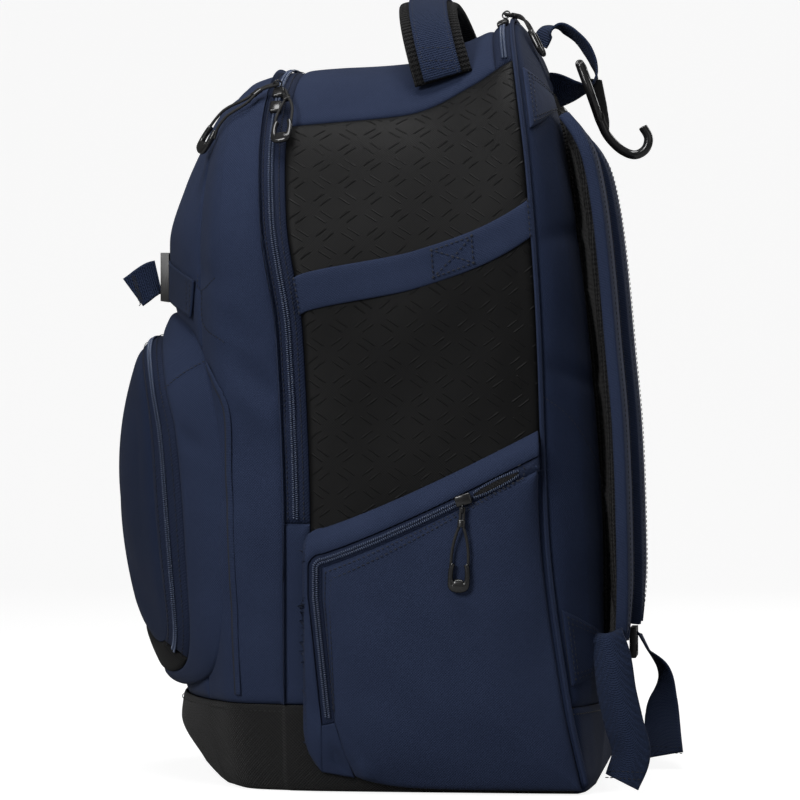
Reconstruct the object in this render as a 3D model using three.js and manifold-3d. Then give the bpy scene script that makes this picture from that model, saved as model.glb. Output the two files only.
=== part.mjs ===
// Baseball bat backpack: a tall sewn pack with a moulded black base, embossed side panels, bulging
// zipped pockets, padded shoulder straps and a plastic fence hook. Millimetres, +Z up, the front pocket
// faces -Y and the wearer's back lies at +Y. The origin is on the floor under the middle of the pack.
import * as THREE from 'three';
import Module from 'manifold-3d';
import { mergeVertices } from 'three/addons/utils/BufferGeometryUtils.js';

// Driving dimensions
const bagHeight = 525;
const bagWidth = 330;
const bagDepth = 312;
const baseHeight = 58;
const fabricWall = 2.4;
const neopreneWall = 3.2;
const baseWall = 2.6;
const baseFloor = 3;
const backPadding = 9;
const seamGap = 0.3;
const zipTapeWidth = 18;
const pipingRadius = 1.5;
const webbingWidth = 26;
const webbingThickness = 1.6;
const sideStrapWidth = 23;
const sidePocketBulge = 11;
const pocketWidth = 300;
const handleWidth = 40;
const handleThickness = 7;
const handleRise = 15;
const strapWidth = 66;
const strapThickness = 14;
const strapSpread = 101;
const hookRod = 6.4;
const hookLength = 78;
const pullGripLength = 21;
const pullGripWidth = 9;

const halfWidth = bagWidth / 2;
const insidePoint = new THREE.Vector3(0, 0, bagHeight * 0.45);

const fabric = { color: 0x1c2438, roughness: 0.85, metalness: 0 };
const darkFabric = { color: 0x161c2e, roughness: 0.9, metalness: 0 };
const webbing = { color: 0x1a2338, roughness: 0.8, metalness: 0 };
const blackPanel = { color: 0x161616, roughness: 0.7, metalness: 0 };
const blackMesh = { color: 0x101010, roughness: 0.95, metalness: 0 };
const blackPlastic = { color: 0x121212, roughness: 0.4, metalness: 0 };
const zipTape = { color: 0x121828, roughness: 0.75, metalness: 0 };

const bag = new THREE.Group();
const wasm = await Module();
wasm.setup();

// Interpolates a row of a table without overshoot between its knots
function steady(knots, values, at) {
  const last = knots.length - 1;
  const x = Math.min(Math.max(at, knots[0]), knots[last]);
  let i = 0;
  while (i < last - 1 && x > knots[i + 1]) i += 1;
  const slope = (k) => (values[k + 1] - values[k]) / (knots[k + 1] - knots[k]);
  const tangent = (k) => {
    if (k === 0) return slope(0);
    if (k === last) return slope(last - 1);
    const before = slope(k - 1);
    const after = slope(k);
    return before * after <= 0 ? 0 : (2 * before * after) / (before + after);
  };
  const span = knots[i + 1] - knots[i];
  const t = (x - knots[i]) / span;
  const t2 = t * t;
  const t3 = t2 * t;
  const ends = values[i] * (2 * t3 - 3 * t2 + 1) + values[i + 1] * (3 * t2 - 2 * t3);
  return ends + span * (tangent(i) * (t3 - 2 * t2 + t) + tangent(i + 1) * (t3 - t2));
}

// Bodies from grids of points
function addMesh(name, geometry, look) {
  geometry.computeVertexNormals();
  const mesh = new THREE.Mesh(geometry, new THREE.MeshStandardMaterial(look));
  mesh.name = name;
  bag.add(mesh);
  return mesh;
}
function bodyGeometry(points, triangles) {
  let volume = 0;
  for (const [a, b, c] of triangles) {
    volume += points[a].dot(new THREE.Vector3().crossVectors(points[b], points[c]));
  }
  const order = volume < 0 ? [0, 2, 1] : [0, 1, 2];
  const geometry = new THREE.BufferGeometry();
  const positions = new Float32Array(points.flatMap((point) => [point.x, point.y, point.z]));
  geometry.setAttribute('position', new THREE.BufferAttribute(positions, 3));
  geometry.setIndex(triangles.flatMap((triangle) => order.map((corner) => triangle[corner])));
  return mergeVertices(geometry, 1e-4);
}
const addBody = (name, points, triangles, look) => addMesh(name, bodyGeometry(points, triangles), look);

// Fuses closed pieces into one
function fused(geometries) {
  let solid = null;
  for (const geometry of geometries) {
    const bare = geometry.clone();
    bare.deleteAttribute('normal');
    bare.deleteAttribute('uv');
    const merged = mergeVertices(bare, 1e-4);
    const next = new wasm.Manifold(new wasm.Mesh({
      numProp: 3,
      vertProperties: new Float32Array(merged.attributes.position.array),
      triVerts: new Uint32Array(merged.index.array),
    }));
    solid = solid ? solid.add(next) : next;
  }
  const mesh = solid.getMesh();
  const result = new THREE.BufferGeometry();
  result.setAttribute('position', new THREE.BufferAttribute(mesh.vertProperties, 3));
  result.setIndex(new THREE.BufferAttribute(mesh.triVerts, 1));
  return result;
}

// A wall between an outer and an inner grid of the same size; a wrapped grid closes on itself along its
// columns
function addWall(name, outer, inner, look, wrapped = false) {
  const rows = outer.length;
  const columns = outer[0].length;
  const points = [...outer.flat(), ...inner.flat()];
  const innerStart = rows * columns;
  const triangles = [];
  const quad = (a, b, c, d) => triangles.push([a, b, c], [a, c, d]);
  const lastColumn = wrapped ? columns : columns - 1;
  const at = (row, column) => row * columns + (column % columns);
  for (let row = 0; row < rows - 1; row += 1) {
    for (let column = 0; column < lastColumn; column += 1) {
      const corners = [at(row, column), at(row, column + 1), at(row + 1, column + 1), at(row + 1, column)];
      quad(...corners);
      quad(...corners.map((corner) => corner + innerStart).reverse());
    }
  }
  for (let column = 0; column < lastColumn; column += 1) {
    const low = [at(0, column + 1), at(0, column)];
    quad(low[0], low[1], low[1] + innerStart, low[0] + innerStart);
    const high = [at(rows - 1, column), at(rows - 1, column + 1)];
    quad(high[0], high[1], high[1] + innerStart, high[0] + innerStart);
  }
  if (!wrapped) {
    for (let row = 0; row < rows - 1; row += 1) {
      const left = [at(row, 0), at(row + 1, 0)];
      quad(left[0], left[1], left[1] + innerStart, left[0] + innerStart);
      const right = [at(row + 1, columns - 1), at(row, columns - 1)];
      quad(right[0], right[1], right[1] + innerStart, right[0] + innerStart);
    }
  }
  addBody(name, points, triangles, look);
}

// A solid lofted through rings of points and closed by a fan at each end
function loftGeometry(rings) {
  const count = rings[0].length;
  const points = rings.flat();
  const triangles = [];
  for (let row = 0; row < rings.length - 1; row += 1) {
    for (let i = 0; i < count; i += 1) {
      const next = (i + 1) % count;
      const [a, b] = [row * count + i, row * count + next];
      const [c, d] = [b + count, a + count];
      triangles.push([a, b, c], [a, c, d]);
    }
  }
  const middleOf = (ring) =>
    ring.reduce((sum, point) => sum.add(point), new THREE.Vector3()).divideScalar(count);
  const first = points.push(middleOf(rings[0])) - 1;
  const last = points.push(middleOf(rings[rings.length - 1])) - 1;
  const start = (rings.length - 1) * count;
  for (let i = 0; i < count; i += 1) {
    const next = (i + 1) % count;
    triangles.push([first, next, i], [last, start + i, start + next]);
  }
  return bodyGeometry(points, triangles);
}
const addLoft = (name, rings, look) => addMesh(name, loftGeometry(rings), look);

const gridOf = (rows, columns, pointAt) =>
  Array.from({ length: rows + 1 }, (_, row) =>
    Array.from({ length: columns + 1 }, (_, column) => pointAt(row / rows, column / columns)));

// Draws the open edges of a grid inwards by half the seam gap
function drawnIn(grid, wrapped = false, amount = seamGap / 2) {
  const rows = grid.length;
  const columns = grid[0].length;
  const result = grid.map((line) => line.map((point) => point.clone()));
  const pull = (point, from, to) => point.add(to.clone().sub(from).setLength(amount));
  for (let column = 0; column < columns; column += 1) {
    pull(result[0][column], grid[0][column], grid[1][column]);
    pull(result[rows - 1][column], grid[rows - 1][column], grid[rows - 2][column]);
  }
  for (let row = 0; row < rows && !wrapped; row += 1) {
    pull(result[row][0], grid[row][0], grid[row][1]);
    pull(result[row][columns - 1], grid[row][columns - 1], grid[row][columns - 2]);
  }
  return result;
}

// Form of the pack: a row for each seam line from the front rim to the back rim, as shares of the
// pack's size. Width and crest are shares of half the width and of the height; the other columns are
// shares of the depth at the levels of the same names.
const levelNames = ['floor', 'hem', 'low', 'middle', 'high', 'shoulder', 'crest'];
const levelShares = [0, 0.12, 0.33, 0.62, 0.78, 0.9, 1];
const seams = [
  { name: 'front rim', width: 0.715, rise: 0.899,
    floor: -0.346, hem: -0.378, low: -0.385, middle: -0.394, high: -0.401, shoulder: -0.391, crest: -0.346 },
  { name: 'front corner', width: 0.91, rise: 0.916,
    floor: -0.285, hem: -0.298, low: -0.321, middle: -0.33, high: -0.343, shoulder: -0.34, crest: -0.311 },
  { name: 'zip front', width: 0.975, rise: 0.93,
    floor: -0.138, hem: -0.138, low: -0.138, middle: -0.155, high: -0.194, shoulder: -0.204, crest: -0.202 },
  { name: 'zip back', width: 0.99, rise: 0.932,
    floor: -0.138, hem: -0.138, low: -0.138, middle: -0.155, high: -0.194, shoulder: -0.204, crest: -0.202 },
  { name: 'saddle', width: 1, rise: 0.939,
    floor: 0.096, hem: 0.096, low: 0.096, middle: 0.09, high: 0.071, shoulder: 0.058, crest: 0.032 },
  { name: 'rise', width: 1, rise: 0.968,
    floor: 0.304, hem: 0.288, low: 0.263, middle: 0.25, high: 0.231, shoulder: 0.199, crest: 0.16 },
  { name: 'piping', width: 0.99, rise: 0.996,
    floor: 0.452, hem: 0.41, low: 0.365, middle: 0.345, high: 0.324, shoulder: 0.295, crest: 0.263 },
  { name: 'back corner', width: 0.89, rise: 0.956,
    floor: 0.462, hem: 0.449, low: 0.436, middle: 0.41, high: 0.381, shoulder: 0.353, crest: 0.311 },
  { name: 'back rim', width: 0.7, rise: 0.903,
    floor: 0.468, hem: 0.481, low: 0.481, middle: 0.452, high: 0.423, shoulder: 0.394, crest: 0.353 },
];
const frontRim = 0;
const zipFront = 2;
const zipBack = 3;
const piping = 6;
const backRim = 8;
const topZipFront = 5.5;
const seamIndex = seams.map((_, index) => index);
const column = (name) => seams.map((seam) => seam[name]);
const widthShares = column('width');
const riseShares = column('rise');
const depthColumns = levelNames.map(column);
const shoulderStart = 0.62;
const cornerPower = 0.8;
const flareLevels = [0, 0.12, 0.33, 0.62, 1];
const flareShares = [0.965, 0.99, 1, 0.985, 0.985];

// Height of a point of the arch: along is 0 at the floor, a half where the shoulder starts and 1 on the crest
function archHeight(seam, along) {
  const crest = bagHeight * steady(seamIndex, riseShares, seam);
  const start = shoulderStart * crest;
  if (along <= 0.5) return (start * along) / 0.5;
  return start + (crest - start) * Math.sin((along - 0.5) * Math.PI) ** cornerPower;
}

function alongAt(seam, height) {
  let low = 0;
  let high = 1;
  for (let step = 0; step < 40; step += 1) {
    const middle = (low + high) / 2;
    if (archHeight(seam, middle) < height) low = middle;
    else high = middle;
  }
  return (low + high) / 2;
}

// A point on the pack's skin: arc is 1 at the floor on the right, 0 on the crest and -1 at the floor on
// the left
function skinPoint(seam, arc) {
  const along = 1 - Math.abs(arc);
  const crest = bagHeight * steady(seamIndex, riseShares, seam);
  const height = archHeight(seam, along);
  const level = height / crest;
  const shares = depthColumns.map((values) => steady(seamIndex, values, seam));
  let depth = bagDepth * steady(levelShares, shares, level);
  if (seam > 1 && seam < zipBack) {
    depth -= zipTapeWidth * (seam <= zipFront ? seam - 1 : zipBack - seam);
  }
  const wide = halfWidth * steady(seamIndex, widthShares, seam) * steady(flareLevels, flareShares, level);
  const round = along <= 0.5 ? 1 : Math.max(0, Math.cos((along - 0.5) * Math.PI)) ** cornerPower;
  return new THREE.Vector3(Math.sign(arc) * wide * round, depth, height);
}

function skinNormal(seam, arc) {
  const step = 0.004;
  const s = Math.min(Math.max(seam, step), backRim - step);
  const a = Math.min(Math.max(arc, step - 1), 1 - step);
  const along = skinPoint(s, a + step).sub(skinPoint(s, a - step));
  const across = skinPoint(s + step, a).sub(skinPoint(s - step, a));
  const normal = new THREE.Vector3().crossVectors(along, across).normalize();
  return normal.dot(skinPoint(s, a).sub(insidePoint)) < 0 ? normal.negate() : normal;
}

// A point off the skin, found by its seam share and its height on one side
const offSkin = (seam, height, side, lift) => {
  const arc = side * (1 - alongAt(seam, height));
  return skinPoint(seam, arc).addScaledVector(skinNormal(seam, arc), lift);
};

function seamAt(depth, height) {
  let low = frontRim;
  let high = backRim;
  for (let step = 0; step < 40; step += 1) {
    const middle = (low + high) / 2;
    if (skinPoint(middle, 1 - alongAt(middle, height)).y < depth) low = middle;
    else high = middle;
  }
  return (low + high) / 2;
}

// A panel of the skin with its wall inside it
function addPanel(name, rows, columns, whereAt, wall, look) {
  const places = gridOf(rows, columns, whereAt);
  const outer = drawnIn(places.map((line) => line.map(([seam, arc]) => skinPoint(seam, arc))));
  const inner = outer.map((line, row) =>
    line.map((point, i) => point.clone().addScaledVector(skinNormal(...places[row][i]), -wall)));
  addWall(name, outer, inner, look);
}

// Rows up the arch, the same for every panel, so that their edges match: from the base rim to the zip's
// stitched end, from there to the start of the shoulder, and round the shoulder to the crest
const zipEndHeight = 178;
const footRows = 2;
const sideRows = 5;
const crestRow = 12;
function alongRow(seam, row) {
  if (row >= sideRows) return 0.5 + (0.5 * (row - sideRows)) / (crestRow - sideRows);
  const zipEnd = alongAt(seam, zipEndHeight);
  if (row >= footRows) return zipEnd + ((0.5 - zipEnd) * (row - footRows)) / (sideRows - footRows);
  return alongAt(seam, baseHeight + ((zipEndHeight - baseHeight) * row) / footRows);
}
function archArc(seam, share, lowestRow = 0) {
  const rows = crestRow - lowestRow;
  const row = crestRow - Math.abs(share * 2 - 1) * rows;
  return Math.sign(0.5 - share) * (1 - alongRow(seam, row));
}

// Base: a black moulded tray with an upturned rim, bowed out at the front
const sideSeams = Array.from({ length: 17 }, (_, i) => backRim - i * 0.5);
const baseBow = { levels: [0, 0.2, 0.7, 1], shares: [-0.401, -0.433, -0.49, -0.484] };
function baseOutline(height, inset) {
  const onSkin = (seam, side) => skinPoint(seam, side * (1 - alongAt(seam, height)));
  const right = sideSeams.map((seam) => onSkin(seam, 1));
  const left = [...sideSeams].reverse().map((seam) => onSkin(seam, -1));
  const corner = right[right.length - 1];
  const bow = bagDepth * steady(baseBow.levels, baseBow.shares, height / baseHeight);
  const front = Array.from({ length: 7 }, (_, i) => {
    const share = 1 - (i + 1) / 4;
    return new THREE.Vector3(corner.x * share, bow + (corner.y - bow) * share ** 2, height);
  });
  const back = Array.from({ length: 5 }, (_, i) =>
    new THREE.Vector3(right[0].x * ((i + 1) / 3 - 1), right[0].y, height));
  const shrink = 1 - inset / halfWidth;
  return [...right, ...front, ...left, ...back].map((point) =>
    new THREE.Vector3(point.x * shrink, point.y * shrink, height));
}
const baseRim = baseHeight - seamGap / 2;
const bootWaist = 34;
const atHeight = (ring, height) => ring.map((point) => new THREE.Vector3(point.x, point.y, height));
addLoft('boot', [
  atHeight(baseOutline(0, 9), 0),
  atHeight(baseOutline(3, 3), 3),
  baseOutline(11, 0),
  baseOutline(bootWaist, 0),
  atHeight(baseOutline(baseHeight, 0), baseRim),
  atHeight(baseOutline(baseHeight, baseWall), baseRim),
  baseOutline(bootWaist, baseWall),
  baseOutline(12, baseWall),
  atHeight(baseOutline(baseFloor, 3 + baseWall), baseFloor),
], blackPanel);

// Skin panels
const seamShare = (from, to) => (u) => from + (to - from) * u;
const overTheTop = (from, to) => (u, v) => {
  const seam = seamShare(from, to)(u);
  return [seam, archArc(seam, v)];
};
addPanel('front_gusset', 4, 2 * crestRow, overTheTop(frontRim, zipFront), fabricWall, fabric);
addPanel('back_gusset', 4, 2 * crestRow, overTheTop(piping, backRim), fabricWall, darkFabric);

// The front zip runs over the top and stops at a stitched end above the side pockets
addPanel('front_zip', 2, 2 * (crestRow - footRows), (u, v) => {
  const seam = seamShare(zipFront, zipBack)(u);
  return [seam, archArc(seam, v, footRows)];
}, fabricWall, zipTape);
for (const [suffix, side] of [['right', 1], ['left', -1]]) {
  addPanel(`zip_foot_${suffix}`, 1, footRows, (u, v) => {
    const seam = seamShare(zipFront, zipBack)(u);
    return [seam, side * (1 - alongRow(seam, footRows * v))];
  }, fabricWall, fabric);
}

// Embossed side panels end on the shoulder, where the top panel starts
const panelTop = (seam) => 0.5 + (45 + (8 * (seam - zipBack)) / (piping - zipBack)) / 180;
const panelRows = 9;
for (const [suffix, side] of [['right', 1], ['left', -1]]) {
  addPanel(`side_panel_${suffix}`, 6, panelRows, (u, v) => {
    const seam = seamShare(zipBack, piping)(u);
    const row = panelRows * v;
    const onShoulder = 0.5 + ((panelTop(seam) - 0.5) * (row - sideRows)) / (panelRows - sideRows);
    return [seam, side * (1 - (row > sideRows ? onShoulder : alongRow(seam, row)))];
  }, neopreneWall, blackPanel);
}
const acrossTop = (from, to) => (u, v) => {
  const seam = seamShare(from, to)(u);
  return [seam, (1 - panelTop(seam)) * (1 - 2 * v)];
};
addPanel('top_panel', 5, 8, acrossTop(zipBack, topZipFront), fabricWall, fabric);
addPanel('top_zip', 1, 8, acrossTop(topZipFront, piping), fabricWall, zipTape);

// Front and back faces close the arch; their edges follow the rims of the gussets
const crownHeights = [0.11, 0.21, 0.38, 0.55, 0.62, 0.703, 0.775, 0.832, 0.869, 0.899];
const crownDepths = [-0.474, -0.46, -0.444, -0.455, -0.497, -0.51, -0.471, -0.429, -0.401, -0.358];
const crownAt = (height) => bagDepth * steady(crownHeights, crownDepths, height / bagHeight);
const faceRows = crestRow - 1;
const faceColumns = 8;
function facePoint(rim, row, across, crown) {
  const reach = Math.abs(across);
  const edgeAlong = alongRow(rim, row);
  if (row === faceRows) {
    const along = edgeAlong + (1 - edgeAlong) * (1 - reach);
    const point = skinPoint(rim, 1 - edgeAlong).lerp(skinPoint(rim, 0), 1 - reach);
    point.x *= Math.sign(across);
    return { point, edgeNormal: skinNormal(rim, Math.sign(across) * (1 - along)), hold: 1 };
  }
  const edge = skinPoint(rim, 1 - edgeAlong);
  const middle = crown ? crown(edge.z) : edge.y;
  const point = new THREE.Vector3(edge.x * across, edge.y + (middle - edge.y) * (1 - reach ** 2.2), edge.z);
  return { point, edgeNormal: skinNormal(rim, Math.sign(across) * (1 - edgeAlong)), hold: reach ** 3 };
}
function addFace(name, rim, outwards, wall, crown, look) {
  const places = gridOf(faceRows, faceColumns, (u, v) =>
    facePoint(rim, Math.round(u * faceRows), 1 - 2 * v, crown));
  const outer = drawnIn(places.map((line) => line.map(({ point }) => point)));
  const inner = outer.map((line, row) => line.map((point, i) => {
    const { edgeNormal, hold } = places[row][i];
    const normal = new THREE.Vector3(0, outwards, 0).lerp(edgeNormal, hold).normalize();
    return point.clone().addScaledVector(normal, -wall);
  }));
  addWall(name, outer, inner, look);
}
addFace('front_panel', frontRim, -1, fabricWall, crownAt, fabric);
addFace('back_panel', backRim, 1, backPadding, null, blackMesh);

// The face's depth at a place on the front, also beyond the rim, where the front gusset takes over
function frontDepthAt(x, height) {
  const arcAt = (seam) => 1 - alongAt(seam, height);
  const edge = skinPoint(frontRim, arcAt(frontRim));
  const reach = Math.abs(x) / edge.x;
  if (reach <= 1) return edge.y + (crownAt(height) - edge.y) * (1 - reach ** 2.2);
  let low = frontRim;
  let high = zipFront;
  for (let step = 0; step < 30; step += 1) {
    const middle = (low + high) / 2;
    if (skinPoint(middle, arcAt(middle)).x < Math.abs(x)) low = middle;
    else high = middle;
  }
  return skinPoint(low, arcAt(low)).y;
}

// Front pocket: rings round its bulging lid, from the rim on the pack to the two edges of the zip. Half
// widths are shares of the pocket's, heights of the pack's height and depths of its depth.
const pocketHeights = [0.126, 0.189, 0.253, 0.368, 0.457, 0.514, 0.585];
const pocketRings = {
  rim: { half: 1, foot: 0.118, arch: 0.004, top: 0.615 },
  zipOuter: { half: 0.83, foot: 0.127, arch: 0.013, top: 0.585,
    side: [-0.385, -0.41, -0.423, -0.436, -0.449, -0.468, -0.481],
    crown: [-0.532, -0.538, -0.532, -0.526, -0.519, -0.519, -0.522] },
  zipInner: { half: 0.72, foot: 0.137, arch: 0.072, top: 0.57,
    side: [-0.436, -0.468, -0.487, -0.506, -0.514, -0.522, -0.538],
    crown: [-0.574, -0.574, -0.571, -0.571, -0.571, -0.571, -0.571] },
};
const rimLift = 1.3;
const pocketMiddle = 0.36 * bagHeight;
const lidMiddle = 0.42 * bagHeight;
const lidDepth = -0.631 * bagDepth;
const pocketColumns = 32;
// Spreads the points of a squarish ring evenly round each quarter
const evened = (u, strength) => u ** strength / (u ** strength + (1 - u) ** strength);
function pocketPoint(ring, angle, inset) {
  const { half, foot, arch, top, side, crown } = pocketRings[ring];
  const quarters = angle / (Math.PI / 2);
  const onTop = quarters % 4 < 2;
  const power = onTop ? 2 / 3 : 2 / 5;
  const even = (Math.floor(quarters) + evened(quarters % 1, onTop ? 1.5 : 2.2)) * (Math.PI / 2);
  const cos = Math.cos(even);
  const sin = Math.sin(even);
  const wide = (half * pocketWidth) / 2 - inset;
  const x = wide * Math.sign(cos) * Math.abs(cos) ** power;
  const reach = Math.abs(x) / wide;
  const low = bagHeight * (foot + arch * (1 - reach ** 2)) + inset;
  const edge = sin > 0 ? top * bagHeight - inset : low;
  const height = pocketMiddle + (edge - pocketMiddle) * Math.abs(sin) ** power;
  if (!side) return new THREE.Vector3(x, frontDepthAt(x, height) - seamGap - rimLift, height);
  const level = height / bagHeight;
  const sideDepth = bagDepth * steady(pocketHeights, side, level);
  const crownDepth = bagDepth * steady(pocketHeights, crown, level);
  const depth = sideDepth + (crownDepth - sideDepth) * (1 - reach ** 2);
  return new THREE.Vector3(x, depth + inset * 0.7, height);
}
function addPocketBand(name, from, to, rows, firstColumn, lastColumn, puff, look) {
  const wrapped = lastColumn - firstColumn === pocketColumns;
  const columns = lastColumn - firstColumn - (wrapped ? 1 : 0);
  const bandAt = (inset) => gridOf(rows, columns, (u, v) => {
    const angle = ((firstColumn + v * columns) / pocketColumns + 1) * 2 * Math.PI;
    const point = pocketPoint(from, angle, inset).lerp(pocketPoint(to, angle, inset), u);
    const swell = puff * Math.sin(Math.PI * u);
    return point.add(new THREE.Vector3(Math.cos(angle), -0.3, Math.sin(angle)).multiplyScalar(swell));
  });
  addWall(name, drawnIn(bandAt(0), wrapped), drawnIn(bandAt(fabricWall), wrapped), look, wrapped);
}
const zipStartColumn = -4;
const zipStopColumn = 20;
addPocketBand('front_pocket_gusset', 'rim', 'zipOuter', 3, 0, pocketColumns, 2, fabric);
addPocketBand('front_pocket_zip', 'zipOuter', 'zipInner', 1, zipStartColumn, zipStopColumn, 0, zipTape);
const trimEnd = zipStartColumn + pocketColumns;
addPocketBand('front_pocket_trim', 'zipOuter', 'zipInner', 2, zipStopColumn, trimEnd, 1.5, blackPanel);

const lidShares = [1, 0.86, 0.68, 0.48, 0.26];
function lidRing(share, inset) {
  return Array.from({ length: pocketColumns }, (_, i) => {
    const point = pocketPoint('zipInner', (i / pocketColumns) * 2 * Math.PI, inset);
    const depth = point.y + (lidDepth + inset - point.y) * (1 - share ** 2.2);
    return new THREE.Vector3(point.x * share, depth, lidMiddle + (point.z - lidMiddle) * share);
  });
}
const lidEdge = (inset) => {
  const [edge, next] = [lidRing(1, inset), lidRing(lidShares[1], inset)];
  return edge.map((point, i) => point.add(next[i].sub(point).setLength(seamGap / 2)));
};
addLoft('front_pocket_lid', [
  ...lidShares.slice(1).reverse().map((share) => lidRing(share, 0)),
  lidEdge(0),
  lidEdge(fabricWall),
  ...lidShares.slice(1).map((share) => lidRing(share, fabricWall)),
], fabric);

// Side pockets: a gusset and a zip bend round the front edge and along the slanting hem, and the face
// bulges out between them, the floor and the piped back seam. Each curve is placed by depth and height
// on the skin.
const hemFront = 172;
const hemBack = 240;
const hemCorner = 14;
const footCorner = 45;
const lowTurn = 130;
const gussetStart = 14;
const zipStart = 46;
const faceStart = 48;
const sidePocketFront = -47;
const sidePocketFoot = 2.5;
const pipingClearance = 3;
const pipingDepth = (height) => skinPoint(piping, 1 - alongAt(piping, height)).y - pipingClearance;
const hemHeight = (depth) => {
  const share = (depth - sidePocketFront) / (pipingDepth(hemBack) - sidePocketFront);
  return hemFront + (hemBack - hemFront) * Math.max(0, share) ** 1.2;
};
// A bent line: up the front edge, round the corner and back along the hem, set in from both
function bentLine(t, frontInset, hemInset, startHeight) {
  const radius = hemCorner - Math.min(frontInset, hemCorner - 2);
  const front = sidePocketFront + frontInset;
  const cornerTop = hemHeight(front + radius) - hemInset;
  const turn = 0.42;
  const straight = 0.5;
  if (t < turn) {
    const height = startHeight + (cornerTop - radius - startHeight) * (t / turn);
    const drop = Math.max(0, footCorner - height);
    const lean = footCorner - Math.sqrt(footCorner ** 2 - drop ** 2);
    return [front + (frontInset > 0 ? 0.35 * drop + 0.1 * Math.max(0, lowTurn - height) : lean), height];
  }
  if (t < straight) {
    const angle = ((t - turn) / (straight - turn)) * (Math.PI / 2);
    return [front + radius * (1 - Math.cos(angle)), cornerTop - radius * (1 - Math.sin(angle))];
  }
  const share = (t - straight) / (1 - straight);
  const back = pipingDepth(hemBack - hemInset);
  const depth = front + radius + (back - front - radius) * share;
  return [depth, hemHeight(depth) - hemInset];
}
// The face's other edge: along the floor and up the piped seam
function floorLine(t, topInset) {
  const turn = 0.5;
  if (t < turn) {
    const share = t / turn;
    const start = sidePocketFront + footCorner * 0.75;
    const height = sidePocketFoot + 8 * (1 - share) ** 8;
    return [start + (pipingDepth(sidePocketFoot) - start) * share, height];
  }
  const share = (t - turn) / (1 - turn);
  const height = sidePocketFoot + (hemBack - topInset - sidePocketFoot) * share;
  return [pipingDepth(height), height];
}
const zipInset = 17;
const zipFrontInset = 5;
const sideZipWidth = 9;
function addPocketPiece(name, side, rows, columns, placeAt, liftAt, look) {
  const places = gridOf(rows, columns, (u, v) => [...placeAt(u, v), liftAt(u, v)]);
  const liftBy = (less) => places.map((line) => line.map(([depth, height, lift]) =>
    offSkin(seamAt(depth, height), height, side, lift - less)));
  addWall(name, drawnIn(liftBy(0)), drawnIn(liftBy(fabricWall)), look);
}
const between = ([a, b], [c, d], share) => [a + (c - a) * share, b + (d - b) * share];
const seated = fabricWall + seamGap;
const zipLift = seated + 0.7 * sidePocketBulge;
const faceLift = seated + sidePocketBulge;
for (const [suffix, side] of [['right', 1], ['left', -1]]) {
  addPocketPiece(`side_pocket_gusset_${suffix}`, side, 3, 16,
    (u, v) => between(bentLine(v, 0, 0, gussetStart), bentLine(v, zipFrontInset, zipInset, zipStart), u),
    (u) => seated + (zipLift - seated) * Math.sin((u * Math.PI) / 2), fabric);
  addPocketPiece(`side_pocket_zip_${suffix}`, side, 1, 16,
    (u, v) => between(bentLine(v, zipFrontInset, zipInset, zipStart),
      bentLine(v, zipFrontInset + sideZipWidth, zipInset + sideZipWidth, faceStart), u),
    (u) => zipLift + (faceLift - zipLift) * 0.5 * u, zipTape);
  addPocketPiece(`side_pocket_face_${suffix}`, side, 8, 16,
    (u, v) => between(bentLine(v, zipFrontInset + sideZipWidth, zipInset + sideZipWidth, faceStart),
      floorLine(v, zipInset + sideZipWidth), u),
    (u, v) => {
      const edge = (zipLift + faceLift) / 2;
      const swell = 0.35 * sidePocketBulge * Math.sin(Math.PI * u) * Math.sin(Math.PI * v);
      return edge + swell - (edge - seated) * u ** 3;
    }, fabric);
}

// Side straps for bat handles, sewn flat across the embossed panels
const strapFrontHeight = 328;
const strapBackHeight = 380;
const strapEnds = [zipBack + 0.04, piping - 0.14];
for (const [suffix, side] of [['right', 1], ['left', -1]]) {
  const places = gridOf(12, 2, (u, v) => {
    const seam = seamShare(...strapEnds)(u);
    const middle = strapFrontHeight + (strapBackHeight - strapFrontHeight) * u;
    return [seam, middle + sideStrapWidth * (v - 0.5) * 1.06];
  });
  const lifted = (lift) => places.map((line) =>
    line.map(([seam, height]) => offSkin(seam, height, side, lift)));
  addWall(`side_strap_${suffix}`, lifted(seamGap + webbingThickness), lifted(seamGap), webbing);
}

// Rings round a path: each section is an ellipse or a rounded band, turned with the path
function bandRing(centre, wide, thick, width, thickness, corners = 8) {
  return Array.from({ length: corners }, (_, i) => {
    const angle = ((i + 0.5) / corners) * 2 * Math.PI;
    const soft = (value, power) => Math.sign(value) * Math.abs(value) ** power;
    return centre.clone()
      .addScaledVector(wide, (soft(Math.cos(angle), 0.35) * width) / 2)
      .addScaledVector(thick, (soft(Math.sin(angle), 0.8) * thickness) / 2);
  });
}
function bandGeometry(places, width, thickness, corners) {
  const rings = places.map(({ centre, wide, width: ownWidth, thickness: ownThickness }, i) => {
    const before = places[Math.max(0, i - 1)].centre;
    const after = places[Math.min(places.length - 1, i + 1)].centre;
    const along = after.clone().sub(before).normalize();
    const thick = new THREE.Vector3().crossVectors(along, wide).normalize();
    const across = new THREE.Vector3().crossVectors(thick, along).normalize();
    return bandRing(centre, across, thick, ownWidth ?? width, ownThickness ?? thickness, corners);
  });
  return loftGeometry(rings);
}
const addBand = (name, places, width, thickness, look, corners) =>
  addMesh(name, bandGeometry(places, width, thickness, corners), look);

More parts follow.
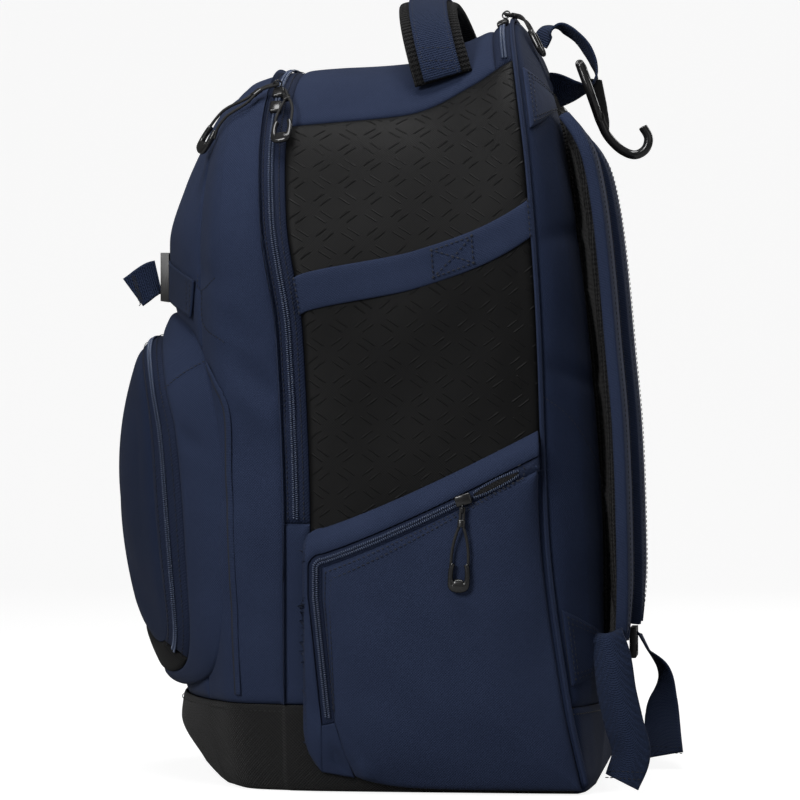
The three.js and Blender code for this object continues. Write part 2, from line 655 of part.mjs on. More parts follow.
// Piping cord sewn into the back seam, over the top from floor to floor
const pipingFoot = 7;
const pipingSteps = 4 * crestRow;
const pipingPlaces = Array.from({ length: pipingSteps + 3 }, (_, i) => {
  const share = (i - 1) / pipingSteps;
  const onArch = share >= 0 && share <= 1;
  const arc = onArch ? archArc(piping, share) : Math.sign(0.5 - share) * (1 - alongAt(piping, pipingFoot));
  const normal = skinNormal(piping, arc);
  return { centre: skinPoint(piping, arc).addScaledVector(normal, pipingRadius + seamGap), wide: normal };
});
addBand('back_piping', pipingPlaces, 2 * pipingRadius, 2 * pipingRadius, fabric, 6);

// Haul handle: a padded black band bent over the top, with navy webbing along it
const handleFoot = { x: 0.64, depth: 0.138, height: 0.892 };
const handleCrestDepth = 0.075 * bagDepth;
const handleCrest = bagHeight + handleRise - handleThickness / 2 - webbingThickness;
function handlePlaces(lift) {
  const steps = 18;
  const footX = handleFoot.x * halfWidth;
  const footY = handleFoot.depth * bagDepth;
  const footHeight = handleFoot.height * bagHeight;
  const fore = new THREE.Vector3(0, 1, 0);
  return Array.from({ length: steps + 1 }, (_, i) => {
    const angle = Math.PI * (0.02 + (0.96 * i) / steps);
    const up = Math.sin(angle) ** 0.75;
    const out = Math.sign(Math.cos(angle)) * Math.abs(Math.cos(angle)) ** 0.9;
    const height = footHeight + (handleCrest - footHeight + lift) * up;
    return { centre: new THREE.Vector3((footX + lift) * out, footY + (handleCrestDepth - footY) * up, height),
      wide: fore };
  });
}
addBand('handle_band', handlePlaces(0), handleWidth, handleThickness, blackMesh);
const handleStack = handleThickness / 2 + webbingThickness / 2 + 2 * seamGap;
addBand('handle_webbing', handlePlaces(handleStack), webbingWidth, webbingThickness, webbing, 8);

// Yokes: fabric triangles that carry the shoulder straps and the hook's webbing
function addPatch(name, side, seamEnds, lowEnds, highEnds, look, steps = [4, 3]) {
  const places = gridOf(...steps, (u, v) => {
    const low = lowEnds[0] + (lowEnds[1] - lowEnds[0]) * u;
    const high = highEnds[0] + (highEnds[1] - highEnds[0]) * u;
    return [seamShare(...seamEnds)(u), low + (high - low) * v];
  });
  const lifted = (lift) => places.map((line) =>
    line.map(([seam, height]) => offSkin(seam, height, side, lift)));
  addWall(name, lifted(patchLift + patchWall), lifted(patchLift), look);
}
const patchLift = 0.9;
const patchWall = 1.8;
const yokeHeights = { low: [0.838, 0.868], high: [0.918, 0.888] };
const anchorHeights = { low: [0.137, 0.152], high: [0.232, 0.202] };
const patchSeams = [piping + 0.2, backRim - 0.35];
const heights = (shares) => shares.map((share) => share * bagHeight);

// Shoulder straps: padded bands that lie along the back, as shares of the pack's height, depth and strap size
const strapRows = [
  { height: 0.862, depth: 0.382, spread: 0.86, width: 0.8, thickness: 0.4 },
  { height: 0.845, depth: 0.405, spread: 0.88, width: 0.95, thickness: 0.8 },
  { height: 0.812, depth: 0.435, spread: 0.92, width: 1, thickness: 1 },
  { height: 0.75, depth: 0.458, spread: 0.96, width: 1, thickness: 1 },
  { height: 0.66, depth: 0.476, spread: 1, width: 1, thickness: 1 },
  { height: 0.56, depth: 0.491, spread: 1.02, width: 1, thickness: 1 },
  { height: 0.46, depth: 0.506, spread: 1.04, width: 1, thickness: 1 },
  { height: 0.36, depth: 0.513, spread: 1.06, width: 0.98, thickness: 1 },
  { height: 0.27, depth: 0.516, spread: 1.09, width: 0.9, thickness: 1 },
  { height: 0.215, depth: 0.514, spread: 1.11, width: 0.72, thickness: 0.85 },
  { height: 0.185, depth: 0.51, spread: 1.12, width: 0.56, thickness: 0.5 },
];
const acrossBack = new THREE.Vector3(1, 0, 0);
const strapPlace = (row, side) => ({
  centre: new THREE.Vector3(side * strapSpread * row.spread, row.depth * bagDepth, row.height * bagHeight),
  wide: acrossBack,
  width: strapWidth * row.width,
  thickness: strapThickness * row.thickness,
});

// Ladder locks hang at the straps' lower ends; the adjuster webbing runs from the anchor tabs through
// them, and its free tails hang to the floor. The route's points are shares of the pack's height and
// depth.
const lockWidth = webbingWidth + 8;
const lockHeight = 22;
const lockThickness = 5;
const lockBar = 3.5;
const lockGap = 1.8;
function plateWithSlots(width, height, thickness, slots) {
  const shape = new THREE.Shape();
  const [w, h] = [width / 2, height / 2];
  shape.moveTo(-w, -h).lineTo(w, -h).lineTo(w, h).lineTo(-w, h).closePath();
  for (const [x0, y0, x1, y1] of slots) {
    const hole = new THREE.Path();
    hole.moveTo(x0, y0).lineTo(x0, y1).lineTo(x1, y1).lineTo(x1, y0).closePath();
    shape.holes.push(hole);
  }
  return new THREE.ExtrudeGeometry(shape, { depth: thickness, bevelEnabled: false })
    .translate(0, 0, -thickness / 2).rotateX(Math.PI / 2);
}
function addPlaced(name, geometry, look, position) {
  const bare = geometry.clone();
  bare.deleteAttribute('normal');
  bare.deleteAttribute('uv');
  addMesh(name, mergeVertices(bare, 1e-4), look).position.copy(position);
}
const tailRoutes = {
  right: [
    { x: 0.74, depth: 0.478, height: 0.176, turn: 0.2 },
    { x: 0.81, depth: 0.478, height: 0.198, turn: 0.9 },
    { x: 0.86, depth: 0.485, height: 0.196, turn: 1.3 },
    { x: 0.885, depth: 0.5, height: 0.17, turn: 1.45 },
    { x: 0.89, depth: 0.51, height: 0.13, turn: 1.5 },
    { x: 0.885, depth: 0.525, height: 0.09, turn: 1.5 },
    { x: 0.87, depth: 0.54, height: 0.05, turn: 1.35 },
    { x: 0.85, depth: 0.52, height: 0.014, turn: 1.1 },
  ],
  left: [
    { x: -0.7, depth: 0.522, height: 0.172, turn: 0 },
    { x: -0.69, depth: 0.54, height: 0.152, turn: 0.1 },
    { x: -0.6, depth: 0.572, height: 0.12, turn: 0.5 },
    { x: -0.45, depth: 0.578, height: 0.08, turn: 0.9 },
    { x: -0.28, depth: 0.585, height: 0.045, turn: 1.2 },
    { x: -0.16, depth: 0.592, height: 0.02, turn: 1.3 },
  ],
};
const turned = (angle) => new THREE.Vector3(Math.cos(angle), Math.sin(angle), 0);
const routePlace = (row) => ({
  centre: new THREE.Vector3(row.x * halfWidth, row.depth * bagDepth, row.height * bagHeight),
  wide: turned(row.turn),
});

for (const [suffix, side] of [['right', 1], ['left', -1]]) {
  addPatch(`yoke_${suffix}`, side, patchSeams, heights(yokeHeights.low), heights(yokeHeights.high), fabric);
  addPatch(`anchor_tab_${suffix}`, side, patchSeams, heights(anchorHeights.low), heights(anchorHeights.high),
    darkFabric);
  const padPlaces = strapRows.map((row) => strapPlace(row, side));
  addBand(`shoulder_strap_${suffix}`, padPlaces, strapWidth, strapThickness, darkFabric, 8);
  const low = strapRows[strapRows.length - 1];
  const slotHalf = webbingWidth / 2 + 0.5;
  const slots = [[-slotHalf, lockBar / 2, slotHalf, lockHeight / 2 - lockBar],
    [-slotHalf, lockBar - lockHeight / 2, slotHalf, -lockBar / 2]];
  const lock = plateWithSlots(lockWidth, lockHeight, lockThickness, slots);
  const lockMiddle = low.height * bagHeight - lockGap - lockHeight / 2;
  addPlaced(`ladder_lock_${suffix}`, lock, blackPlastic,
    new THREE.Vector3(side * strapSpread * low.spread, low.depth * bagDepth, lockMiddle));
  const tail = tailRoutes[suffix].map(routePlace);
  addBand(`strap_tail_${suffix}`, tail, webbingWidth, webbingThickness, webbing);
}

// Front compression strap, its buckle and its free end
const frontStrapHeights = { side: 0.622, middle: 0.658 };
const frontStrapReach = 0.95;
const frontStrapPlaces = Array.from({ length: 13 }, (_, i) => {
  const across = (1 - i / 6) * frontStrapReach;
  const height = bagHeight * (frontStrapHeights.middle
    + (frontStrapHeights.side - frontStrapHeights.middle) * across ** 2);
  const edge = skinPoint(frontRim, 1 - alongAt(frontRim, height)).x;
  const depth = frontDepthAt(edge * across, height) - webbingThickness / 2 - 1.6;
  return { centre: new THREE.Vector3(edge * across, depth, height), wide: new THREE.Vector3(0, 0, 1) };
});
addBand('front_strap', frontStrapPlaces, webbingWidth, webbingThickness, webbing);
const buckleSize = { width: 34, height: 34, thickness: 6 };
const buckleHeight = frontStrapHeights.middle * bagHeight + 1;
const buckleDepth = frontDepthAt(0, buckleHeight) - webbingThickness - 2 - buckleSize.thickness / 2;
addPlaced('front_buckle', plateWithSlots(buckleSize.width, buckleSize.height, buckleSize.thickness,
  [[3, -13.5, 7, 13.5], [10, -13, 14, 13]]), blackPlastic, new THREE.Vector3(0, buckleDepth, buckleHeight));
const endRows = [
  { x: 14, out: 2.2, drop: 0 },
  { x: 16, out: 5.5, drop: 1 },
  { x: 18, out: 10, drop: 4 },
  { x: 19, out: 15, drop: 8 },
  { x: 20, out: 19, drop: 11 },
];
const endTilt = 0.3;
addBand('front_strap_end', endRows.map(({ x, out, drop }, i) => ({
  centre: new THREE.Vector3(x, buckleDepth - buckleSize.thickness / 2 - out, buckleHeight - drop),
  wide: new THREE.Vector3(0, (-endTilt * i) / (endRows.length - 1), 1),
})), webbingWidth * 0.92, webbingThickness, webbing);

// Fence hook: a slotted head with a rib behind it and a round rod bent into a J. The rod's points are
// the distances from the top of the head, in shares of the hook's length.
const hookX = 18;
const hookTop = { depth: 0.411 * bagDepth, height: 0.937 * bagHeight };
const hookRows = [[0, 0], [0.04, -0.14], [0.105, -0.29], [0.165, -0.48], [0.24, -0.63], [0.37, -0.757],
  [0.485, -0.795], [0.573, -0.745], [0.6, -0.645], [0.548, -0.544]];
const hookPoint = ([out, down]) => new THREE.Vector3(hookX, hookTop.depth + out * hookLength,
  hookTop.height + down * hookLength);
const roundPlaces = (points, steps) => {
  const curve = new THREE.CatmullRomCurve3(points);
  const places = Array.from({ length: steps + 1 }, (_, i) => curve.getPoint(i / steps));
  return places.map((centre) => ({ centre, wide: acrossBack }));
};
const hookPath = hookRows.map(hookPoint);
const neckRow = 3;
const headHalf = webbingWidth / 2 + 3.05;
const railStart = (side) => hookPath[0].clone().add(new THREE.Vector3(side * headHalf, 0, 0));
const railBend = (side) => hookPath[2].clone().add(new THREE.Vector3(side * headHalf, 0, 0));
const rod = (places) => bandGeometry(places, hookRod, hookRod, 8);
const straight = (points, wide) => points.map((centre) => ({ centre, wide }));
const headRails = [1, -1].map((side) =>
  rod(straight([railStart(side), railBend(side), hookPath[neckRow]], acrossBack)));
const headBar = rod(straight([railStart(1), railStart(-1)], new THREE.Vector3(0, 0, 1)));
const ribTop = hookPath[neckRow].clone().add(new THREE.Vector3(0, 4, 2));
const ribPlaces = straight([ribTop, hookPath[neckRow + 1]], acrossBack);
const rib = bandGeometry(ribPlaces, hookRod * 0.6, hookRod * 1.8, 6);
addMesh('fence_hook', fused([rod(roundPlaces(hookPath.slice(neckRow), 18)), ...headRails, headBar, rib]),
  blackPlastic);
const loopRows = [
  { depth: 0.3185, height: 0.9645, turn: 0.6 },
  { depth: 0.338, height: 0.984, turn: 0.6 },
  { depth: 0.36, height: 0.988, turn: 0.45 },
  { depth: 0.385, height: 0.982, turn: 0.3 },
  { depth: 0.413, height: 0.967, turn: 0.3 },
  { depth: 0.436, height: 0.944, turn: 0.2 },
  { depth: 0.445, height: 0.922, turn: 0 },
  { depth: 0.435, height: 0.911, turn: 0 },
  { depth: 0.405, height: 0.907, turn: 0.3 },
  { depth: 0.37, height: 0.905, turn: 0.8 },
];
addBand('hook_loop', loopRows.map(({ depth, height, turn }) => ({
  centre: new THREE.Vector3(hookX, depth * bagDepth, height * bagHeight), wide: turned(turn),
})), webbingWidth - 1, webbingThickness, webbing);

// Zip sliders and their cord pulls. A pull starts at its slider and ends in a moulded grip; its points
// are a seam share, a height and a lift off the skin.
const sliderSize = [7.5, 4, 11];
const cordRadius = 1.1;
const gripThickness = 4;
const pullClearance = 0.8;
function addSlider(name, centre, normal, along) {
  const across = new THREE.Vector3().crossVectors(along, normal).normalize();
  const up = new THREE.Vector3().crossVectors(across, normal);
  const geometry = new THREE.BoxGeometry(...sliderSize);
  geometry.applyMatrix4(new THREE.Matrix4().makeBasis(across, normal, up).setPosition(centre));
  addPlaced(name, geometry, blackPlastic, new THREE.Vector3());
}
function addPull(name, points, normal) {
  const curve = new THREE.CatmullRomCurve3(points);
  const steps = 10;
  const length = curve.getLength();
  const gripShare = 1 - pullGripLength / length;
  const shares = [0, 0.12, 0.3, 0.5, 0.72, 0.97].map((share) => share * gripShare);
  const grip = [gripShare, gripShare + 0.02, (1 + gripShare) / 2, 0.985, 1];
  const places = [...shares, ...grip].map((share, i) => {
    const onCord = i < shares.length;
    const swell = Math.sin((Math.PI * share) / gripShare);
    const atGripEnd = i === shares.length || share === 1;
    return {
      centre: curve.getPointAt(share),
      wide: new THREE.Vector3().crossVectors(curve.getTangentAt(share), normal).normalize(),
      width: onCord ? 2.6 + 5 * Math.max(0, swell) : pullGripWidth * (atGripEnd ? 0.7 : 1),
      thickness: onCord ? 2 * cordRadius : gripThickness * (share === 1 ? 0.7 : 1),
    };
  });
  addBand(name, places, 1, 1, blackPlastic, 6);
}
const zipMiddle = (zipFront + zipBack) / 2;
const sliderLift = sliderSize[1] / 2 + seamGap + 0.5;
const placeOff = (seam, height, side, lift) => offSkin(seam, height * bagHeight, side, lift);
const arcAt = (seam, height, side) => side * (1 - alongAt(seam, height * bagHeight));
const frontSliders = [{ height: 0.888, side: 1 }, { height: 0.868, side: 1 }];
const alongArch = (seam, height, side) =>
  placeOff(seam, height + 0.01, side, 0).sub(placeOff(seam, height - 0.01, side, 0)).normalize();
frontSliders.forEach(({ height, side }, i) => {
  addSlider(`front_slider_${i + 1}`, placeOff(zipMiddle, height, side, sliderLift),
    skinNormal(zipMiddle, arcAt(zipMiddle, height, side)), alongArch(zipMiddle, height, side));
});
const pullLift = sliderLift + sliderSize[1] / 2 + cordRadius + pullClearance;
const sliderTop = placeOff(zipMiddle, frontSliders[0].height + 0.006, 1, pullLift);
const forwardPull = [[1.8, 0.889, 6.6], [1.4, 0.872, 6], [0.9, 0.858, 6], [0.5, 0.838, 6], [0.3, 0.81, 6]];
addPull('front_pull_1', [sliderTop, ...forwardPull.map(([seam, height, lift]) =>
  placeOff(seam, height, 1, lift))], skinNormal(1.2, arcAt(1.2, 0.86, 1)));
const backwardPull = [[2.75, 0.885, 6.5], [2.95, 0.873, 6.5], [3.03, 0.86, 6.5], [3.02, 0.845, 6.5],
  [2.98, 0.83, 6.5], [2.95, 0.815, 6.5]];
addPull('front_pull_2', backwardPull.map(([seam, height, lift]) => placeOff(seam, height, 1, lift)),
  skinNormal(3, arcAt(3, 0.85, 1)));

const topZipMiddle = (topZipFront + piping) / 2;
const topSliderDrop = 1.15;
const onTop = (seam, arc, lift) => skinPoint(seam, arc).addScaledVector(skinNormal(seam, arc), lift);
[0.075, 0.045].forEach((arc, i) => {
  const centre = onTop(topZipMiddle, arc, sliderLift - topSliderDrop);
  addSlider(`top_slider_${i + 1}`, centre, skinNormal(topZipMiddle, arc), new THREE.Vector3(1, 0, 0));
});
const topPull = [[5.85, 0.06, 6.5], [6.2, 0.075, 6.2], [6.5, 0.085, 5.6], [6.8, 0.092, 5.2], [7.1, 0.096, 5]];
addPull('top_pull', topPull.map(([seam, arc, lift]) => onTop(seam, arc, lift)), skinNormal(6.4, 0.08));

const pullDrops = [5, 18, 32, 46, 60];
for (const [suffix, side] of [['right', 1], ['left', -1]]) {
  const halfTape = sideZipWidth / 2;
  const [depth, height] = bentLine(0.83, zipFrontInset + halfTape, zipInset + halfTape, zipStart);
  const seam = seamAt(depth, height);
  const reach = (zipLift + faceLift) / 2 + sliderLift;
  const normal = skinNormal(seam, side * (1 - alongAt(seam, height)));
  const centre = offSkin(seam, height, side, reach);
  addSlider(`side_slider_${suffix}`, centre, normal, new THREE.Vector3(0, 1, 0.3));
  addPull(`side_pull_${suffix}`, pullDrops.map((drop, i) => {
    const lift = reach + (i === 0 ? 1.5 : 3.4);
    return offSkin(seamAt(depth - 0.05 * drop, height - drop), height - drop, side, lift);
  }), normal);
}

const pocketSliderColumn = 10.5;
const bandMiddle = (column, lift) => {
  const angle = (column / pocketColumns) * 2 * Math.PI;
  return pocketPoint('zipOuter', angle, 0).lerp(pocketPoint('zipInner', angle, 0), 0.5)
    .add(new THREE.Vector3(0, -lift * 0.7, lift * 0.7));
};
addSlider('pocket_slider', bandMiddle(pocketSliderColumn, sliderLift + 1.6), new THREE.Vector3(0, -0.7, 0.7),
  new THREE.Vector3(1, 0, 0));
const pocketPullTop = bandMiddle(pocketSliderColumn, sliderLift + 1.6 + sliderSize[1] / 2 + cordRadius + 0.9);
const pocketDrops = [0, 12, 26, 40, 54];
addPull('pocket_pull', pocketDrops.map((drop, i) => {
  if (i === 0) return pocketPullTop;
  const height = pocketPullTop.z - 4 - drop;
  const reach = (height - lidMiddle) / (0.57 * bagHeight - lidMiddle);
  const across = Math.abs(pocketPullTop.x) / (0.36 * pocketWidth);
  const share = Math.min(1, Math.hypot(reach, across * 0.8));
  const depth = -0.571 * bagDepth + (lidDepth + 0.571 * bagDepth) * (1 - share ** 2.2);
  return new THREE.Vector3(pocketPullTop.x, depth - 4, height);
}), new THREE.Vector3(0, -1, 0.2));

export default bag;
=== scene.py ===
"""Looks of the baseball bat backpack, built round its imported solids. Metres, +Z up, the front faces -Y."""
import math

import bmesh
import bpy
import numpy as np
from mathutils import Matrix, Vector


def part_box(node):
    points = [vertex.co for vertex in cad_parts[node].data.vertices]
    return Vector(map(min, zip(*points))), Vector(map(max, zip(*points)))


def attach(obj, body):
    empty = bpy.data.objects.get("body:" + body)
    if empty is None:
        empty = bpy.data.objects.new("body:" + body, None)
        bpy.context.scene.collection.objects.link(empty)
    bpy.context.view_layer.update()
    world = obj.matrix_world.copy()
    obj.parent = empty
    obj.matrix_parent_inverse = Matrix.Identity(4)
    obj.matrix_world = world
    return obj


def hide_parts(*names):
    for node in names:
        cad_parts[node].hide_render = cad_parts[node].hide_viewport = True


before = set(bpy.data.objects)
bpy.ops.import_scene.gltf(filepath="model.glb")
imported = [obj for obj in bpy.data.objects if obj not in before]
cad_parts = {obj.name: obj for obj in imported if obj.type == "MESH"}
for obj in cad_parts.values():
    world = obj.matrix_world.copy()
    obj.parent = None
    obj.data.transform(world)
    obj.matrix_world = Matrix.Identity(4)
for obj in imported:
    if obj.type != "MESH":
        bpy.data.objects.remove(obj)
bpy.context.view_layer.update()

# Studio: a pale floor that sweeps up behind the pack, lit by large soft lamps. The camera looks at the pack's
# right side from a little behind it, level, with a long lens, as in the photograph.
studio = bpy.context.scene
studio.view_settings.view_transform = "Standard"


def linked(name, data):
    """A new object in the scene"""
    made = bpy.data.objects.new(name, data)
    bpy.context.collection.objects.link(made)
    return made


def read_all(items, field, width, kind=float):
    """One field of all vertices, corners or faces of a mesh, in rows of a width"""
    values = np.empty(len(items) * width, kind)
    items.foreach_get(field, values)
    return values.reshape(-1, width)


def surface_mesh(name, points, faces, uvs=None):
    """An object from vertices and faces, with its UVs in metres if they are given for each vertex"""
    mesh = bpy.data.meshes.new(name)
    mesh.from_pydata([tuple(p) for p in points], [], [tuple(int(i) for i in f) for f in faces])
    if uvs is not None:
        corners = read_all(mesh.loops, "vertex_index", 1, np.int32)[:, 0]
        mesh.uv_layers.new(name="UVMap").data.foreach_set("uv", np.asarray(uvs, np.float32)[corners].ravel())
    mesh.polygons.foreach_set("use_smooth", [True] * len(mesh.polygons))
    mesh.update()
    return linked(name, mesh)


def look_at(holder, place, target):
    holder.location = place
    holder.rotation_euler = (Vector(target) - Vector(place)).to_track_quat("-Z", "Y").to_euler()


VIEW_AIM = (0.0, 0.0, 0.26)
VIEW_AZIMUTH = math.radians(96 - 90)
VIEW_DISTANCE = 2.7
view_camera = bpy.data.cameras.new("view")
view_camera.lens = 173
view_camera.sensor_width = 36
view_holder = linked("view", view_camera)
look_at(view_holder, (VIEW_DISTANCE * math.cos(VIEW_AZIMUTH), VIEW_DISTANCE * math.sin(VIEW_AZIMUTH),
                      VIEW_AIM[2]), VIEW_AIM)
studio.camera = view_holder


def add_lamp(name, place, target, size, power):
    lamp = bpy.data.lights.new(name, "AREA")
    lamp.shape = "RECTANGLE"
    lamp.size, lamp.size_y = size
    lamp.energy = power
    look_at(linked(name, lamp), place, target)


add_lamp("key_lamp", (1.9, -0.95, 1.2), (0, 0, 0.22), (0.8, 0.8), 30)
add_lamp("fill_lamp", (1.7, 1.7, 0.9), (0, 0, 0.2), (1.5, 1.2), 3.2)
add_lamp("top_lamp", (0.3, 0, 2.2), (0, 0, 0.4), (1.1, 1.1), 27)
add_lamp("rim_lamp", (-1.6, 1.5, 1.3), (0, 0, 0.3), (0.8, 1.6), 16)


def seen_white(tree, strength_socket, seen, felt):
    """Strength that is white for the camera alone, and dimmer for the light that falls on the pack"""
    ray = tree.nodes.new("ShaderNodeLightPath")
    pick = tree.nodes.new("ShaderNodeMix")
    pick.inputs["A"].default_value = felt
    pick.inputs["B"].default_value = seen
    tree.links.new(ray.outputs["Is Camera Ray"], pick.inputs["Factor"])
    tree.links.new(pick.outputs["Result"], strength_socket)


studio_world = bpy.data.worlds.new("studio_air")
studio.world = studio_world
studio_world.use_nodes = True
air_shader = studio_world.node_tree.nodes["Background"]
air_shader.inputs["Color"].default_value = (1, 1, 1, 1)
seen_white(studio_world.node_tree, air_shader.inputs["Strength"], 1.0, 0.1)

FLOOR_REACH, SWEEP_RADIUS, SWEEP_HEIGHT = 4.0, 1.4, 3.0
SWEEP_START = SWEEP_RADIUS - FLOOR_REACH
sweep_line = [(-FLOOR_REACH, SWEEP_HEIGHT)]
sweep_line += [(SWEEP_START - SWEEP_RADIUS * math.sin(a), SWEEP_RADIUS - SWEEP_RADIUS * math.cos(a))
               for a in np.linspace(math.pi / 2, 0, 17)]
sweep_line += [(FLOOR_REACH, 0.0)]
sweep_points = [(x, y, z) for x, z in sweep_line for y in (-FLOOR_REACH, FLOOR_REACH)]
sweep_faces = [(2 * i, 2 * i + 1, 2 * i + 3, 2 * i + 2) for i in range(len(sweep_line) - 1)]
pale_floor = surface_mesh("studio_floor", sweep_points, sweep_faces)
floor_paint = bpy.data.materials.new("pale floor")
floor_paint.use_nodes = True
floor_shader = floor_paint.node_tree.nodes["Principled BSDF"]
floor_shader.inputs["Base Color"].default_value = (0.3, 0.3, 0.3, 1)
floor_shader.inputs["Roughness"].default_value = 0.7
floor_shader.inputs["Emission Color"].default_value = (1, 1, 1, 1)
seen_white(floor_paint.node_tree, floor_shader.inputs["Emission Strength"], 0.86, 0.02)
pale_floor.data.materials.append(floor_paint)

# Skin of the pack: every sewn panel lies on one lofted form, with a row of sizes for each seam from front
# to back. A row gives width and rise, as shares of half the width and of the height, and then depths, as
# shares of the pack's depth, at heights that are shares of the seam's own crest.
PACK_HEIGHT = 0.525
PACK_DEPTH = 0.312
HALF_WIDTH = 0.165
BASE_HEIGHT = 0.058
ZIP_TAPE_WIDTH = 0.018
FABRIC_WALL = 0.0016
SEAM_ROWS = {
    "front rim": (0.715, 0.899, -0.346, -0.378, -0.385, -0.394, -0.401, -0.391, -0.346),
    "front corner": (0.91, 0.916, -0.285, -0.298, -0.321, -0.33, -0.343, -0.34, -0.311),
    "zip front": (0.975, 0.93, -0.138, -0.138, -0.138, -0.155, -0.194, -0.204, -0.202),
    "zip back": (0.99, 0.932, -0.138, -0.138, -0.138, -0.155, -0.194, -0.204, -0.202),
    "saddle": (1, 0.939, 0.096, 0.096, 0.096, 0.09, 0.071, 0.058, 0.032),
    "rise": (1, 0.968, 0.304, 0.288, 0.263, 0.25, 0.231, 0.199, 0.16),
    "piping": (0.99, 0.996, 0.452, 0.41, 0.365, 0.345, 0.324, 0.295, 0.263),
    "back corner": (0.89, 0.956, 0.462, 0.449, 0.436, 0.41, 0.381, 0.353, 0.311),
    "back rim": (0.7, 0.903, 0.468, 0.481, 0.481, 0.452, 0.423, 0.394, 0.353),
}
FRONT_RIM, ZIP_FRONT, ZIP_BACK, TOP_ZIP, PIPING, BACK_RIM = 0, 2, 3, 5.5, 6, 8
LEVEL_SHARES = (0, 0.12, 0.33, 0.62, 0.78, 0.9, 1)
FLARE = {"level": (0, 0.12, 0.33, 0.62, 1), "share": (0.965, 0.99, 1, 0.985, 0.985)}
SHOULDER_START = 0.62
CORNER_POWER = 0.8
seam_table = np.array(list(SEAM_ROWS.values()))
seam_numbers = np.arange(len(seam_table))


def steady(knots, values, at):
    """Curve through a table's values that never swings past them; each point may have values of its own"""
    knots, at, values = (np.asarray(v, float) for v in (knots, at, values))
    flat = np.clip(at.ravel(), knots[0], knots[-1])
    if values.ndim == 1:
        values = np.repeat(values[:, None], flat.size, axis=1)
    slope = np.diff(values, axis=0) / np.diff(knots)[:, None]
    before, after = slope[:-1], slope[1:]
    total = np.where(before + after == 0, 1, before + after)
    inner = np.where(before * after <= 0, 0, 2 * before * after / total)
    tangent = np.concatenate([slope[:1], inner, slope[-1:]])
    i = np.clip(np.searchsorted(knots, flat, side="left") - 1, 0, len(knots) - 2)
    k = np.arange(flat.size)
    span = knots[i + 1] - knots[i]
    t = (flat - knots[i]) / span
    ends = values[i, k] * (2 * t**3 - 3 * t**2 + 1) + values[i + 1, k] * (3 * t**2 - 2 * t**3)
    bend = tangent[i, k] * (t**3 - 2 * t**2 + t) + tangent[i + 1, k] * (t**3 - t**2)
    return (ends + span * bend).reshape(at.shape)


def crest_height(seam):
    return PACK_HEIGHT * steady(seam_numbers, seam_table[:, 1], seam)


def arch_height(seam, along):
    crest = crest_height(seam)
    start = SHOULDER_START * crest
    rise = np.sin(np.clip(along - 0.5, 0, 0.5) * np.pi) ** CORNER_POWER
    return np.where(along <= 0.5, start * along / 0.5, start + (crest - start) * rise)


def along_at(seam, height):
    """Share of the way up the arch, 0 at the floor and 1 on the crest, at a height"""
    crest = crest_height(seam)
    start = SHOULDER_START * crest
    rise = np.clip((height - start) / (crest - start), 0, 1)
    rounded = 0.5 + np.arcsin(rise ** (1 / CORNER_POWER)) / np.pi
    return np.where(height <= start, 0.5 * height / start, rounded)


def skin(seam, arc):
    """Points of the skin; arc runs from 1 at the right floor over 0 on the crest to -1 at the left floor"""
    seam, arc = np.broadcast_arrays(np.asarray(seam, float), np.asarray(arc, float))
    flat_seam, flat_arc = seam.ravel(), arc.ravel()
    along = 1 - np.abs(flat_arc)
    height = arch_height(flat_seam, along)
    level = height / crest_height(flat_seam)
    depths = np.array([steady(seam_numbers, column, flat_seam) for column in seam_table.T[2:]])
    depth = PACK_DEPTH * steady(LEVEL_SHARES, depths, level)
    tape = np.where(flat_seam <= ZIP_FRONT, flat_seam - 1, ZIP_BACK - flat_seam)
    depth = depth - ZIP_TAPE_WIDTH * np.where((flat_seam > 1) & (flat_seam < ZIP_BACK), tape, 0)
    wide = HALF_WIDTH * steady(seam_numbers, seam_table[:, 0], flat_seam)
    wide = wide * steady(FLARE["level"], FLARE["share"], level)
    rounding = np.where(along <= 0.5, 1, np.clip(np.cos((along - 0.5) * np.pi), 0, 1) ** CORNER_POWER)
    return np.stack([np.sign(flat_arc) * wide * rounding, depth, height], -1).reshape(seam.shape + (3,))


def unit(vectors):
    length = np.linalg.norm(vectors, axis=-1, keepdims=True)
    return vectors / np.where(length < 1e-12, 1, length)


def skin_normal(seam, arc):
    step = 0.004
    s = np.clip(seam, step, BACK_RIM - step)
    a = np.clip(arc, step - 1, 1 - step)
    normal = unit(np.cross(skin(s, a + step) - skin(s, a - step), skin(s + step, a) - skin(s - step, a)))
    outwards = np.sum(normal * (skin(s, a) - np.array([0, 0, PACK_HEIGHT * 0.45])), -1, keepdims=True)
    return np.where(outwards < 0, -normal, normal)


def seam_at(depth, height):
    """Seam share of a place on the side, found by its depth and height"""
    depth, height = np.broadcast_arrays(np.asarray(depth, float), np.asarray(height, float))
    low, high = np.full(depth.shape, float(FRONT_RIM)), np.full(depth.shape, float(BACK_RIM))
    for _ in range(30):
        middle = (low + high) / 2
        short = skin(middle, 1 - along_at(middle, height))[..., 1] < depth
        low, high = np.where(short, middle, low), np.where(short, high, middle)
    return (low + high) / 2


def on_skin(seam, height, side, lift=0.0):
    """Places at a height on the seams of one side, lifted off the skin, and the way the skin faces there"""
    arc = side * (1 - along_at(seam, height))
    facing = skin_normal(seam, arc)
    return skin(seam, arc) + facing * np.asarray(lift)[..., None], facing


def bumped(points, size, seed):
    """Soft uneven swell of about one, from sine waves in fixed random directions"""
    random = np.random.default_rng(seed)
    total = np.zeros(points.shape[:-1])
    for _ in range(7):
        direction = unit(random.normal(size=3))
        wave = 2 * np.pi / (size * random.uniform(0.7, 1.6))
        total += np.sin(points @ direction * wave + random.uniform(0, 2 * np.pi))
    return total / 3


